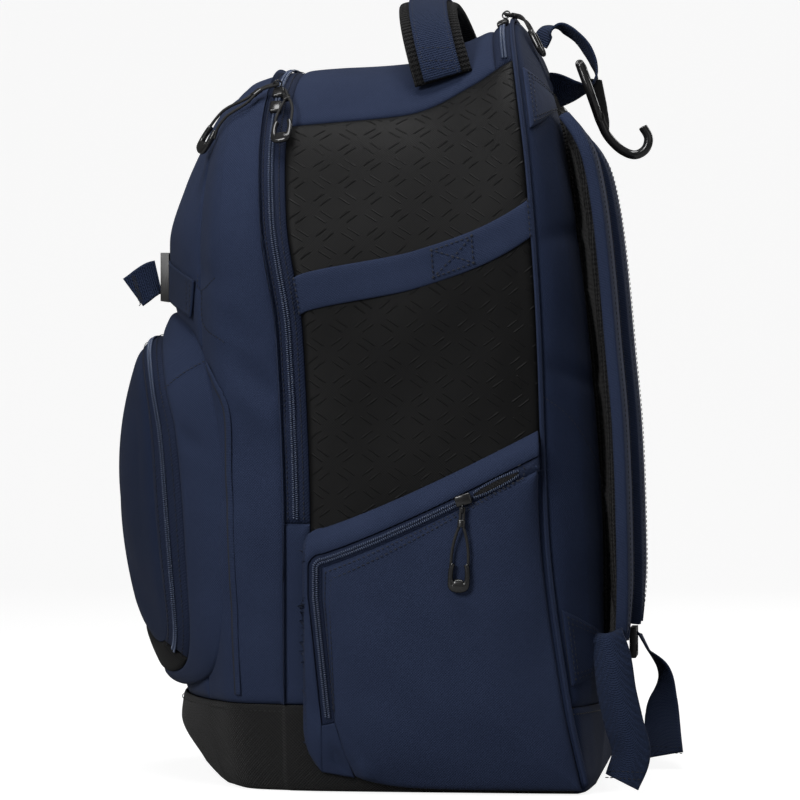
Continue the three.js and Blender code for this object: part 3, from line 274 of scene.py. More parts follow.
# Creases in the cloth of the pack's right side, pressed in along short lines: each row is a line from one
# place to another, by depth and height, how far the cloth sinks (or stands, if negative) and how wide the
# crease is.
CREASES = [
    (-0.098, 0.290, -0.057, 0.254, 0.0030, 0.008), (-0.098, 0.272, -0.060, 0.236, -0.0030, 0.010),
    (-0.108, 0.318, -0.082, 0.300, 0.0016, 0.007), (-0.120, 0.200, -0.080, 0.188, 0.0012, 0.012),
    (-0.112, 0.130, -0.072, 0.112, 0.0010, 0.012), (-0.027, 0.028, -0.012, 0.014, 0.0034, 0.006),
    (-0.012, 0.022, 0.000, 0.008, -0.0030, 0.006), (-0.040, 0.060, -0.024, 0.040, 0.0022, 0.006),
    (0.112, 0.285, 0.148, 0.268, 0.0024, 0.006), (0.108, 0.365, 0.140, 0.375, 0.0016, 0.006),
    (0.020, 0.120, 0.070, 0.060, 0.0012, 0.016), (0.085, 0.190, 0.105, 0.090, 0.0012, 0.014),
    (0.000, 0.160, 0.060, 0.130, 0.0009, 0.016), (-0.010, 0.075, 0.060, 0.030, 0.0012, 0.013),
    (-0.138, 0.240, -0.118, 0.226, 0.0016, 0.007), (-0.130, 0.350, -0.105, 0.338, 0.0014, 0.008),
]


def crease_depth(points):
    """How far the creases press each point in; the left side gets them a little lower"""
    sunk = np.zeros(points.shape[:-1])
    faded_end, full_run = 0.12, 0.76
    for side, drop in ((1, 0.0), (-1, 0.017)):
        on_side = np.clip(side * points[..., 0] / 0.06, 0, 1)
        for y0, z0, y1, z1, depth, width in CREASES:
            start, end = np.array([y0, z0 - drop]), np.array([y1, z1 - drop])
            run = end - start
            place = points[..., 1:] - start
            share = np.clip(place @ run / (run @ run), 0, 1)
            distance = np.linalg.norm(place - share[..., None] * run, axis=-1)
            strength = np.sin(np.pi * (faded_end + full_run * share))
            sunk += on_side * depth * np.exp(-((distance / width) ** 2)) * strength
    return sunk


def lengths_along(points, axis):
    """Distance of each grid point from the start of its line"""
    steps = np.linalg.norm(np.diff(points, axis=axis), axis=-1)
    start = np.zeros_like(np.take(steps, [0], axis=axis))
    return np.concatenate([start, np.cumsum(steps, axis=axis)], axis=axis)


def grid_normals(points, outwards):
    """Normals of a grid of points, turned to the side that the given directions show"""
    normal = unit(np.cross(np.gradient(points, axis=0), np.gradient(points, axis=1)))
    return np.where(np.sum(normal * outwards, -1, keepdims=True) < 0, -normal, normal)


def wall_faces(rows, columns, wrapped):
    """Faces of a closed wall: an outer grid, an inner one and the rims between them"""
    last = columns if wrapped else columns - 1
    r, c = (a.ravel() for a in np.meshgrid(np.arange(rows - 1), np.arange(last), indexing="ij"))
    at = lambda row, column: row * columns + column % columns
    outer = np.stack([at(r, c), at(r, c + 1), at(r + 1, c + 1), at(r + 1, c)], -1)
    inner_start = rows * columns
    faces = [outer, outer[:, ::-1] + inner_start]
    c = np.arange(last)
    for row, order in ((0, 1), (rows - 1, -1)):
        edge = np.stack([at(row, c + 1), at(row, c)], -1)
        rim = np.concatenate([edge, edge[:, ::-1] + inner_start], -1)
        faces.append(rim[:, ::order])
    if not wrapped:
        r = np.arange(rows - 1)
        for column, order in ((0, 1), (columns - 1, -1)):
            edge = np.stack([at(r, column), at(r + 1, column)], -1)
            rim = np.concatenate([edge, edge[:, ::-1] + inner_start], -1)
            faces.append(rim[:, ::order])
    return np.concatenate(faces)


def cloth_wall(name, points, outwards, material, wall=FABRIC_WALL, wrapped=False, puff=0.0, roll=0.0016,
               ends_rolled=True, uneven=0.0005, seed=1, uv_turn=False, uv_plane=None):
    """A sewn panel: a wall whose outer face swells by puff between its edges and rolls in at its seams"""
    up, across = lengths_along(points, 0), lengths_along(points, 1)
    normals = grid_normals(points, outwards)
    to_edge = np.full(up.shape, 1.0)
    if ends_rolled:
        to_edge = np.minimum(to_edge, np.minimum(up, up[-1:] - up))
    if not wrapped:
        to_edge = np.minimum(to_edge, np.minimum(across, across[:, -1:] - across))
    rolled_in = roll * np.exp(-((to_edge / 0.0022) ** 1.3))
    swell = puff * np.clip(to_edge / 0.03, 0, 1) ** 0.6
    height = swell - rolled_in + uneven * np.clip(to_edge / 0.012, 0, 1) * bumped(points, 0.07, seed)
    outer = points + normals * (height - crease_depth(points) * np.clip(to_edge / 0.008, 0, 1))[..., None]
    inner = points - normals * (rolled_in + wall)[..., None]
    rows, columns = points.shape[:2]
    faces = wall_faces(rows, columns, wrapped)
    if wrapped:
        across = np.broadcast_to(across.mean(0), across.shape)
        across = np.minimum(across, across[:, -1:] * columns / (columns - 1) - across)
    uv = np.stack([up, across] if uv_turn else [across, up], -1).reshape(-1, 2)
    if uv_plane:
        uv = points[..., uv_plane].reshape(-1, 2)
    piece = surface_mesh(name, np.concatenate([outer.reshape(-1, 3), inner.reshape(-1, 3)]), faces,
                         np.concatenate([uv, uv]))
    turn_outwards(piece)
    piece.data.materials.append(material)
    return piece


def turn_outwards(piece):
    """Turns a closed mesh's faces outwards if its volume comes out negative"""
    mesh = piece.data
    mesh.calc_loop_triangles()
    corners = read_all(mesh.loop_triangles, "vertices", 3, np.int32)
    a, b, c = read_all(mesh.vertices, "co", 3)[corners].transpose(1, 0, 2)
    if np.sum(a * np.cross(b, c)) < 0:
        mesh.flip_normals()


def flat_weave(piece, first, second):
    """Lays a piece's weave flat along two of the axes"""
    mesh = piece.data
    places = read_all(mesh.vertices, "co", 3)[read_all(mesh.loops, "vertex_index", 1, np.int32)[:, 0]]
    mesh.uv_layers["UVMap"].data.foreach_set("uv", places[:, [first, second]].ravel())


def placed(piece, slot, *nodes):
    """Hangs a finished piece on the pack in place of its solids"""
    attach(piece, "root")
    if nodes:
        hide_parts(*nodes)
    return piece


def shader_group(name, inputs, outputs):
    """An empty group of shader nodes with named inputs and outputs"""
    group = bpy.data.node_groups.new(name, "ShaderNodeTree")
    for label, kind, default in inputs:
        socket = group.interface.new_socket(name=label, in_out="INPUT", socket_type=kind)
        if default is not None:
            socket.default_value = default
    for label, kind in outputs:
        group.interface.new_socket(name=label, in_out="OUTPUT", socket_type=kind)
    return group, group.nodes.new("NodeGroupInput"), group.nodes.new("NodeGroupOutput")


def maths(tree, operation, first, second=None, third=None):
    """One Math node; numbers and sockets both do as its inputs"""
    node = tree.nodes.new("ShaderNodeMath")
    node.operation = operation
    for socket, value in zip(node.inputs, (first, second, third)):
        if value is None:
            continue
        if isinstance(value, (int, float)):
            socket.default_value = value
        else:
            tree.links.new(value, socket)
    return node.outputs[0]


def split_uv(tree, uv):
    split = tree.nodes.new("ShaderNodeSeparateXYZ")
    tree.links.new(uv, split.inputs[0])
    return split.outputs[0], split.outputs[1]


def waves(tree, uv, pitch):
    """Waves of a pitch in metres along each way of the cloth"""
    return [maths(tree, "SINE", maths(tree, "MULTIPLY", way, 2 * math.pi / pitch))
            for way in split_uv(tree, uv)]


def noise(tree, vector, scale, detail):
    node = tree.nodes.new("ShaderNodeTexNoise")
    node.inputs["Scale"].default_value = scale
    node.inputs["Detail"].default_value = detail
    tree.links.new(vector, node.inputs["Vector"])
    return node.outputs["Fac"]


# Weave: crossing threads, set by the thread's pitch in metres, and the slight unevenness of dyed cloth
weave, weave_in, weave_out = shader_group(
    "Woven threads",
    [("UV", "NodeSocketVector", None), ("Place", "NodeSocketVector", None),
     ("Pitch", "NodeSocketFloat", 0.0008)],
    [("Height", "NodeSocketFloat"), ("Shade", "NodeSocketFloat")])
thread_turns = [maths(weave, "MULTIPLY", maths(weave, "DIVIDE", way, weave_in.outputs["Pitch"]), math.pi)
                for way in split_uv(weave, weave_in.outputs["UV"])]
crossing = maths(weave, "MULTIPLY", maths(weave, "SINE", thread_turns[0]),
                 maths(weave, "SINE", thread_turns[1]))
cloud = noise(weave, weave_in.outputs["Place"], 16.0, 3.0)
speck = noise(weave, weave_in.outputs["Place"], 950.0, 1.0)
THREAD_SLUB = 0.12
weave.links.new(maths(weave, "ADD", crossing, maths(weave, "MULTIPLY", speck, THREAD_SLUB)),
                weave_out.inputs["Height"])
speckled = maths(weave, "ADD", maths(weave, "MULTIPLY", cloud, 0.6), maths(weave, "MULTIPLY", speck, 0.5))
weave.links.new(maths(weave, "MULTIPLY_ADD", crossing, 0.08, speckled), weave_out.inputs["Shade"])


def two_shades(name, dark, light, bump):
    """A material between two shades with a relief: its parts, and the sockets for its shade and its height"""
    material = bpy.data.materials.new(name)
    material.use_nodes = True
    tree = material.node_tree
    shader = tree.nodes["Principled BSDF"]
    shades = tree.nodes.new("ShaderNodeMix")
    shades.data_type = "RGBA"
    shades.inputs["A"].default_value = (*dark, 1)
    shades.inputs["B"].default_value = (*light, 1)
    tree.links.new(shades.outputs["Result"], shader.inputs["Base Color"])
    bumps = tree.nodes.new("ShaderNodeBump")
    bumps.inputs["Distance"].default_value = bump
    bumps.inputs["Strength"].default_value = 1.0
    tree.links.new(bumps.outputs["Normal"], shader.inputs["Normal"])
    place = tree.nodes.new("ShaderNodeTexCoord").outputs["Object"]
    return material, tree, shader, place, shades.inputs["Factor"], bumps.inputs["Height"]


def cloth_material(name, dark, light, pitch, bump, roughness=0.82, sheen=0.02, relief=None):
    """Woven cloth between two shades; relief adds a pattern of its own to the weave's height"""
    material, tree, shader, place, shade_socket, height_socket = two_shades(name, dark, light, bump)
    shader.inputs["Roughness"].default_value = roughness
    shader.inputs["Sheen Weight"].default_value = sheen
    shader.inputs["Sheen Roughness"].default_value = 0.45
    shader.inputs["Specular IOR Level"].default_value = 0.15
    uv_map = tree.nodes.new("ShaderNodeUVMap")
    uv_map.uv_map = "UVMap"
    threads = tree.nodes.new("ShaderNodeGroup")
    threads.node_tree = weave
    threads.inputs["Pitch"].default_value = pitch
    tree.links.new(uv_map.outputs["UV"], threads.inputs["UV"])
    tree.links.new(place, threads.inputs["Place"])
    height, shade = threads.outputs["Height"], threads.outputs["Shade"]
    if relief:
        height, shade = relief(tree, uv_map.outputs["UV"], height, shade)
    tree.links.new(shade, shade_socket)
    tree.links.new(height, height_socket)
    return material


navy_cloth = cloth_material("navy polyester", (0.0085, 0.0145, 0.037), (0.027, 0.04, 0.086), 0.0009, 0.00014)
# A darker copy of the navy polyester, as painted shade: for the back gusset, the pocket lid, the side pocket
# flanges, the anchor tabs and the tray behind the piping
DARKEST_NAVY = (0.005, 0.0095, 0.027)
shaded_navy_cloth = cloth_material("navy polyester, painted shade", DARKEST_NAVY, (0.015, 0.025, 0.06), 0.0009, 0.00014)

# Front gusset: navy polyester round the front of the pack, from the front seam back to the long zip. The back
# gusset does the same from the piping to the back panel, in the same cloth darkened with painted shade,
# softer and puffed out over foam.


def row_ends(seam, share, lowest):
    """Arc on a seam by the share of a panel's height, from its lowest height on the right over to the left"""
    foot = along_at(seam, lowest)
    climb = foot + (1 - foot) * (1 - np.abs(share * 2 - 1))
    return np.sign(0.5 - share) * (1 - climb)


def over_the_top(seam_from, seam_to, rows, columns, lowest):
    seams, shares = np.meshgrid(np.linspace(seam_from, seam_to, columns), np.linspace(0, 1, rows))
    arcs = row_ends(seams, shares, lowest)
    return skin(seams, arcs), skin_normal(seams, arcs)


PANEL_FOOT = BASE_HEIGHT + 0.0002
placed(cloth_wall("front_gusset_cloth", *over_the_top(FRONT_RIM, ZIP_FRONT, 420, 56, PANEL_FOOT), navy_cloth,
                  puff=0.0012, seed=3), "fabric_navy", "front_gusset")
# The back gusset takes the darker navy: painted shade
placed(cloth_wall("back_gusset_cloth", *over_the_top(PIPING, BACK_RIM, 420, 56, PANEL_FOOT), shaded_navy_cloth,
                  puff=0.0018, uneven=0.0008, seed=4), "fabric_dark", "back_gusset")

# Zips: dark navy tape with a coil of nylon teeth down its middle, sewn in behind folded edges of cloth. The
# front zip runs over the top and ends above the side pockets, where a piece of cloth covers its foot.


def row_tree():
    """Geometry nodes that set small rounded bars along lines, such as teeth and stitches"""
    tree = bpy.data.node_groups.new("Bars along a line", "GeometryNodeTree")
    tree.is_modifier = True
    sockets = {}
    for label, kind in (("Geometry", "Geometry"), ("Pitch", "Float"), ("Size", "Vector"),
                        ("Material", "Material")):
        socket = tree.interface.new_socket(name=label, in_out="INPUT", socket_type=f"NodeSocket{kind}")
        sockets[label] = socket.identifier
    tree.interface.new_socket(name="Geometry", in_out="OUTPUT", socket_type="NodeSocketGeometry")
    new = lambda *kinds: [tree.nodes.new(kind) for kind in kinds]
    link = tree.links.new
    start, end = new("NodeGroupInput", "NodeGroupOutput")
    lines, even = new("GeometryNodeMeshToCurve", "GeometryNodeResampleCurve")
    bars, real = new("GeometryNodeInstanceOnPoints", "GeometryNodeRealizeInstances")
    even.mode = "LENGTH"
    ball, shape = new("GeometryNodeMeshUVSphere", "GeometryNodeTransform")
    ball.inputs["Segments"].default_value = 6
    ball.inputs["Rings"].default_value = 4
    ball.inputs["Radius"].default_value = 0.5
    facing, along = new("GeometryNodeInputNamedAttribute", "GeometryNodeInputNamedAttribute")
    for node, label in ((facing, "facing"), (along, "along")):
        node.data_type = "FLOAT_VECTOR"
        node.inputs["Name"].default_value = label
    stand, turn = new("FunctionNodeAlignRotationToVector", "FunctionNodeAlignRotationToVector")
    stand.axis, turn.axis, turn.pivot_axis = "Z", "X", "Z"
    smooth, paint = new("GeometryNodeSetShadeSmooth", "GeometryNodeSetMaterial")
    link(start.outputs["Geometry"], lines.inputs[0])
    link(lines.outputs[0], even.inputs["Curve"])
    link(start.outputs["Pitch"], even.inputs["Length"])
    link(even.outputs[0], bars.inputs["Points"])
    link(ball.outputs["Mesh"], shape.inputs["Geometry"])
    link(start.outputs["Size"], shape.inputs["Scale"])
    link(shape.outputs[0], bars.inputs["Instance"])
    link(facing.outputs[0], stand.inputs["Vector"])
    link(stand.outputs[0], turn.inputs["Rotation"])
    link(along.outputs[0], turn.inputs["Vector"])
    link(turn.outputs[0], bars.inputs["Rotation"])
    link(bars.outputs[0], real.inputs[0])
    link(real.outputs[0], smooth.inputs[0])
    link(smooth.outputs[0], paint.inputs[0])
    link(start.outputs["Material"], paint.inputs["Material"])
    link(paint.outputs[0], end.inputs[0])
    return tree, sockets


bar_tree, bar_sockets = row_tree()


def baked(piece):
    """The mesh of a piece with its modifiers worked in"""
    return bpy.data.meshes.new_from_object(piece.evaluated_get(bpy.context.evaluated_depsgraph_get()))


def bars_along(name, lines, pitch, size, material, slot):
    """Bars of one size along lines; a line is its points, the way they face and the way each bar lies"""
    points, facing, along, edges = [], [], [], []
    for line_points, line_facing, line_along in lines:
        first = len(points)
        points += [tuple(p) for p in line_points]
        facing += list(line_facing)
        along += list(line_along)
        edges += [(first + i, first + i + 1) for i in range(len(line_points) - 1)]
    mesh = bpy.data.meshes.new(name)
    mesh.from_pydata(points, edges, [])
    for label, values in (("facing", facing), ("along", along)):
        layer = mesh.attributes.new(label, "FLOAT_VECTOR", "POINT")
        layer.data.foreach_set("vector", np.asarray(values, np.float32).ravel())
    route = linked(name + "_route", mesh)
    modifier = route.modifiers.new("bars", "NODES")
    modifier.node_group = bar_tree
    modifier[bar_sockets["Pitch"]] = pitch
    modifier[bar_sockets["Size"]] = size
    modifier[bar_sockets["Material"]] = material
    made = baked(route)
    made.name = name
    for layer in [a.name for a in made.attributes if a.name in ("facing", "along")]:
        made.attributes.remove(made.attributes[layer])
    bpy.data.objects.remove(route)
    return placed(linked(name, made), slot)


def tangents(points):
    return unit(np.gradient(points, axis=0))


COIL = {"pitch": 0.0014, "reach": 0.0024, "wide": 0.0009, "high": 0.0016, "row": 0.0011, "lean": 0.22}


def coil_along(name, points, facing):
    """Two rows of nylon teeth that lock into each other along a zip"""
    run = tangents(points)
    across = unit(np.cross(run, facing))
    rows = []
    for side, shift in ((1, 0), (-1, 0.5)):
        teeth = points + across * side * COIL["row"] + run * COIL["pitch"] * shift
        rows.append((teeth, facing, unit(across + run * side * COIL["lean"])))
    size = (COIL["reach"], COIL["wide"], COIL["high"])
    return bars_along(name, rows, COIL["pitch"], size, coil_nylon, "zip_tape")


def stitch_line(points, facing, lift=0.0002):
    return points + facing * lift, facing, tangents(points)


def stitches(name, lines, slot="fabric_navy", size=(0.0026, 0.0007, 0.0006), pitch=0.0034, thread=None):
    return bars_along(name, lines, pitch, size, thread or navy_thread_and_shade, slot)


def plain_material(name, colour, roughness, specular=0.5, grain=900.0, bump=0.00008):
    """Moulded or spun material of one shade with a fine grain"""
    darker, lighter = ([c * share for c in colour] for share in (0.75, 1.25))
    material, tree, shader, place, shade_socket, height_socket = two_shades(name, darker, lighter, bump)
    shader.inputs["Specular IOR Level"].default_value = specular
    tree.links.new(noise(tree, place, grain, 2.0), height_socket)
    cloudy = noise(tree, place, 45.0, 3.0)
    tree.links.new(cloudy, shade_socket)
    tree.links.new(maths(tree, "MULTIPLY_ADD", cloudy, 0.16, roughness - 0.08), shader.inputs["Roughness"])
    return material


tape_cloth = cloth_material("zip tape", DARKEST_NAVY, (0.014, 0.022, 0.052), 0.0011, 0.0002, roughness=0.7)
# Lighter than the tape: partly the nylon's own shade, partly a painted highlight for the glint of its teeth
coil_nylon = plain_material("nylon coil", (0.062, 0.083, 0.142), 0.24)
# Thread darker than the cloth: painted shade in the stitch holes; the same material paints the shadow of the
# groove beside the front corner seam
navy_thread_and_shade = plain_material("navy thread and painted shade", (0.0045, 0.0068, 0.0155), 0.7)
moulded_black = plain_material("moulded black plastic", (0.0075, 0.0075, 0.008), 0.4, grain=1400.0)

ZIP_END = 0.178
zip_points, zip_out = over_the_top(ZIP_FRONT, ZIP_BACK, 420, 26, ZIP_END)
placed(cloth_wall("front_zip_tape", zip_points, zip_out, tape_cloth, puff=0.0004, uneven=0.0001, roll=0.0022,
                  seed=5), "zip_tape", "front_zip")
coil_arc = row_ends(np.full(600, 2.5), np.linspace(0.004, 0.996, 600), ZIP_END)
coil_out = skin_normal(np.full(600, 2.5), coil_arc)
coil_along("front_zip_coil", skin(2.5, coil_arc) + coil_out * 0.0017, coil_out)
tape_lines = []
for seam in (2.2, 2.8):
    arcs = row_ends(np.full(500, seam), np.linspace(0.004, 0.996, 500), ZIP_END)
    facing = skin_normal(np.full(500, seam), arcs)
    tape_lines.append(stitch_line(skin(seam, arcs), facing, 0.0004))
stitches("front_zip_stitches", tape_lines, "zip_tape")
for suffix, side in (("right", 1), ("left", -1)):
    seams, heights = np.meshgrid(np.linspace(ZIP_FRONT, ZIP_BACK, 20), np.linspace(PANEL_FOOT, ZIP_END, 70))
    placed(cloth_wall(f"zip_foot_cloth_{suffix}", *on_skin(seams, heights, side), navy_cloth, puff=0.0005,
                      seed=6),
           "fabric_navy", f"zip_foot_{suffix}")

# Side panels: black foam laminated under smooth cloth, embossed with a lattice of short double bars


def embossed_bars(tree, uv, height, shade):
    """Adds to a weave the pressed lattice, pairs of short bars on the edges of flat diamonds, and paints a
    highlight on the raised bars
    """
    across, rise = 0.034, 0.0245
    gap, bar_width, half_length, stand = 0.13, 0.035, 0.225, 2.0
    u, v = (maths(tree, "DIVIDE", way, pitch) for way, pitch in zip(split_uv(tree, uv), (across, rise)))
    diagonals = [maths(tree, "ADD", u, v), maths(tree, "SUBTRACT", u, v)]
    from_line = [maths(tree, "ABSOLUTE", maths(tree, "SUBTRACT", d, maths(tree, "ROUND", d)))
                 for d in diagonals]
    bars = []
    for line, other in (from_line, from_line[::-1]):
        off_bar = maths(tree, "ABSOLUTE", maths(tree, "SUBTRACT", line, gap))
        wide = maths(tree, "SUBTRACT", 1, maths(tree, "DIVIDE", off_bar, bar_width))
        reach = maths(tree, "SUBTRACT", other, 0.5 - half_length)
        long = maths(tree, "MINIMUM", maths(tree, "DIVIDE", reach, 0.04), 1)
        both = tree.nodes.new("ShaderNodeClamp")
        tree.links.new(maths(tree, "MINIMUM", wide, long), both.inputs[0])
        bars.append(both.outputs[0])
    raised = maths(tree, "MAXIMUM", bars[0], bars[1])
    relief = maths(tree, "MULTIPLY_ADD", raised, stand, maths(tree, "MULTIPLY", height, 0.3))
    # The raised bars are also painted lighter: a painted highlight on the relief
    return relief, maths(tree, "MULTIPLY_ADD", raised, 0.45, maths(tree, "MULTIPLY", shade, 0.6))


embossed_cloth = cloth_material("embossed black laminate", (0.0022, 0.0022, 0.0024), (0.0062, 0.0062, 0.0064),
                                0.0009, 0.0002, roughness=0.5, sheen=0, relief=embossed_bars)
embossed_cloth.node_tree.nodes["Principled BSDF"].inputs["Specular IOR Level"].default_value = 0.13
# Black polyester for the pocket trim; the same black also paints the shadow inside the open side zips
black_cloth_and_gap_shade = cloth_material("black polyester and painted shade", (0.006, 0.006, 0.0064), (0.013, 0.013, 0.0135), 0.0012,
                             0.0002)


def panel_top(seam):
    """Share of the way up the arch where the side panels end and the top panel starts"""
    return 0.5 + (45 + 8 * (seam - ZIP_BACK) / (PIPING - ZIP_BACK)) / 180


for suffix, side in (("right", 1), ("left", -1)):
    seams, shares = np.meshgrid(np.linspace(ZIP_BACK, PIPING, 130), np.linspace(0, 1, 190))
    low = along_at(seams, PANEL_FOOT)
    panel_arcs = side * (1 - (low + (panel_top(seams) - low) * shares))
    placed(cloth_wall(f"side_panel_foam_{suffix}", skin(seams, panel_arcs), skin_normal(seams, panel_arcs),
                      embossed_cloth, wall=0.003, puff=0.0012, roll=0.002, uneven=0.0006, seed=7),
           "panel_black", f"side_panel_{suffix}")

# Top: a navy panel between the zips, which carries the handle, and a short zip behind it


def across_top(seam_from, seam_to, rows, columns):
    seams, shares = np.meshgrid(np.linspace(seam_from, seam_to, rows), np.linspace(0, 1, columns),
                                indexing="ij")
    arcs = (1 - panel_top(seams)) * (1 - 2 * shares)
    return skin(seams, arcs), skin_normal(seams, arcs)


placed(cloth_wall("top_panel_cloth", *across_top(ZIP_BACK, TOP_ZIP, 90, 160), navy_cloth, puff=0.0015,
                  seed=8),
       "fabric_navy", "top_panel")
placed(cloth_wall("top_zip_tape", *across_top(TOP_ZIP, PIPING, 24, 160), tape_cloth, puff=0.0004, roll=0.002,
                  seed=9), "zip_tape", "top_zip")
top_coil_seam = np.full(300, (TOP_ZIP + PIPING) / 2)
top_coil_arc = (1 - panel_top(top_coil_seam)) * np.linspace(0.97, -0.97, 300)
top_coil_out = skin_normal(top_coil_seam, top_coil_arc)
coil_along("top_zip_coil", skin(top_coil_seam, top_coil_arc) + top_coil_out * 0.0012, top_coil_out)

# Front panel: navy polyester, bulged by the stuffing. Back panel: black spacer mesh over foam.
CROWN_ROWS = ((0.11, -0.474), (0.21, -0.46), (0.38, -0.444), (0.55, -0.455), (0.62, -0.497), (0.703, -0.51),
              (0.775, -0.471), (0.832, -0.429), (0.869, -0.401), (0.899, -0.358))
CROWN_POWER = 2.2
crown_heights, crown_depths = np.array(CROWN_ROWS).T


def crown_at(height):
    return PACK_DEPTH * steady(crown_heights, crown_depths, height / PACK_HEIGHT)


def face_grid(rim, rows, columns, crowned):
    foot = along_at(np.array(float(rim)), PANEL_FOOT)
    climb, reach = np.meshgrid(np.linspace(0, 1, rows) ** 0.9, np.linspace(1, -1, columns), indexing="ij")
    along = foot + (0.992 - foot) * climb
    edge = skin(float(rim), 1 - along)
    middle = crown_at(edge[..., 2]) if crowned else edge[..., 1]
    depth = edge[..., 1] + (middle - edge[..., 1]) * (1 - np.abs(reach) ** CROWN_POWER)
    return np.stack([edge[..., 0] * reach, depth, edge[..., 2]], -1)


FORWARDS, BACKWARDS = np.array([0, -1.0, 0]), np.array([0, 1.0, 0])
placed(cloth_wall("front_panel_cloth", face_grid(FRONT_RIM, 200, 120, True), FORWARDS, navy_cloth,
                  puff=0.0012, uneven=0.001, seed=10), "fabric_navy", "front_panel")


def mesh_holes(tree, uv, height, shade):
    """Rows of small holes of a spacer mesh"""
    return maths(tree, "MULTIPLY_ADD", maths(tree, "ADD", *waves(tree, uv, 0.0034)), 1.3, height), shade


spacer_mesh = cloth_material("black spacer mesh", (0.0045, 0.0045, 0.005), (0.012, 0.012, 0.0125), 0.0011,
                             0.0004, roughness=0.95, sheen=0.04, relief=mesh_holes)
BACK_PADDING = 0.009
back_face = face_grid(BACK_RIM, 170, 120, False)
channel = np.exp(-((back_face[..., 0] / 0.010) ** 2)) * 0.004
pads = 0.0022 * np.abs(np.sin(np.pi * (back_face[..., 2] - BASE_HEIGHT) / 0.138)) ** 0.5
back_face[..., 1] += pads - channel
back_pad = cloth_wall("back_padding", back_face, BACKWARDS, spacer_mesh, wall=BACK_PADDING, roll=0.003,
                      seed=11)
placed(back_pad, "mesh_black", "back_panel")

# Base: a tray of black coated sheet with a woven grain, bowed out in front and sewn to the panels. Behind the
# piping, the cloth of the back gusset covers it.
BASE_BOW = {"level": (0, 0.2, 0.7, 1), "share": (-0.401, -0.433, -0.49, -0.484)}
BASE_SEAMS = np.linspace(BACK_RIM, FRONT_RIM, 65)


def base_ring(height, inset):
    """Outline of the tray at a height, set in from the skin"""
    arc = 1 - along_at(BASE_SEAMS, np.full(BASE_SEAMS.shape, height))
    right = skin(BASE_SEAMS, arc)
    left = right[::-1] * (-1, 1, 1)
    corner = right[-1]
    bow = PACK_DEPTH * float(steady(BASE_BOW["level"], BASE_BOW["share"], height / BASE_HEIGHT))
    share = np.linspace(1, -1, 41)[1:-1]
    front = np.stack([corner[0] * share, bow + (corner[1] - bow) * share**2, share * 0], -1)
    share = np.linspace(-1, 1, 25)[1:-1]
    back = np.stack([right[0][0] * share, np.full(share.shape, right[0][1]), share * 0], -1)
    ring = np.concatenate([right, front, left, back])
    ring[:, :2] *= 1 - inset / HALF_WIDTH
    ring[:, 2] = height
    return ring


def lofted(name, rings, material):
    """A closed form through rings of points, with a fan at each end"""
    rings = np.asarray(rings)
    count, around = rings.shape[:2]
    points = np.concatenate([rings.reshape(-1, 3), rings[0].mean(0)[None], rings[-1].mean(0)[None]])
    r, c = (a.ravel() for a in np.meshgrid(np.arange(count - 1), np.arange(around), indexing="ij"))
    n = (c + 1) % around
    quads = np.stack([r * around + c, r * around + n, (r + 1) * around + n, (r + 1) * around + c], -1)
    c = np.arange(around)
    n = (c + 1) % around
    first, last = count * around, count * around + 1
    top = (count - 1) * around
    fans = [(first, b, a) for a, b in zip(c, n)] + [(last, top + a, top + b) for a, b in zip(c, n)]
    up, across = lengths_along(rings, 0), lengths_along(rings, 1)
    uv = np.stack([np.broadcast_to(across.mean(0), across.shape), up], -1).reshape(-1, 2)
    uv = np.concatenate([uv, uv[:1], uv[-1:]])
    piece = surface_mesh(name, points, [*quads, *fans], uv)
    turn_outwards(piece)
    piece.data.materials.append(material)
    return piece


def coated_grain(tree, uv, height, shade):
    """The raised squares of a coated ripstop sheet"""
    squares = maths(tree, "MULTIPLY", *waves(tree, uv, 0.0022))
    return maths(tree, "MULTIPLY_ADD", squares, 1.6, maths(tree, "MULTIPLY", height, 0.4)), shade


coated_sheet = cloth_material("black coated sheet", (0.0095, 0.0095, 0.0098), (0.0185, 0.0185, 0.019), 0.0008,
                              0.0003, roughness=0.48, sheen=0.05, relief=coated_grain)
TRAY_ROWS = [(0.0, 0.009), (0.0012, 0.005), (0.003, 0.003), (0.006, 0.0015), (0.011, 0.0)]
TRAY_ROWS += [(height, 0.0) for height in np.linspace(0.014, 0.055, 28)]
TRAY_ROWS += [(0.0568, 0.0005), (0.0578, 0.0012)]
tray_rings = [base_ring(height, inset) for height, inset in TRAY_ROWS]
tray_rings += [base_ring(height, 0.0026) for height in (0.057, 0.045, 0.03, 0.012)]
tray_rings.append(base_ring(0.003, 0.0056))
for ring in tray_rings[3:-5]:
    outward = unit(ring * (1, 1, 0))
    ring += outward * (0.0005 * bumped(ring, 0.06, 12) - crease_depth(ring))[:, None]
boot_tray = placed(lofted("boot_tray", tray_rings, coated_sheet), "base_black", "boot")
rim_ring = base_ring(0.0535, -0.0002)
rim_ring = np.concatenate([rim_ring, rim_ring[:1]])
stitches("boot_stitches", [stitch_line(rim_ring, unit(rim_ring * (1, 1, 0)))], "base_black",
         thread=moulded_black)
# Behind the piping the tray takes the darker navy, with its painted shade
boot_tray.data.materials.append(shaded_navy_cloth)
behind_piping = read_all(boot_tray.data.polygons, "center", 3)[:, 1] > 0.42 * PACK_DEPTH
boot_tray.data.polygons.foreach_set("material_index", behind_piping.astype(np.int32))

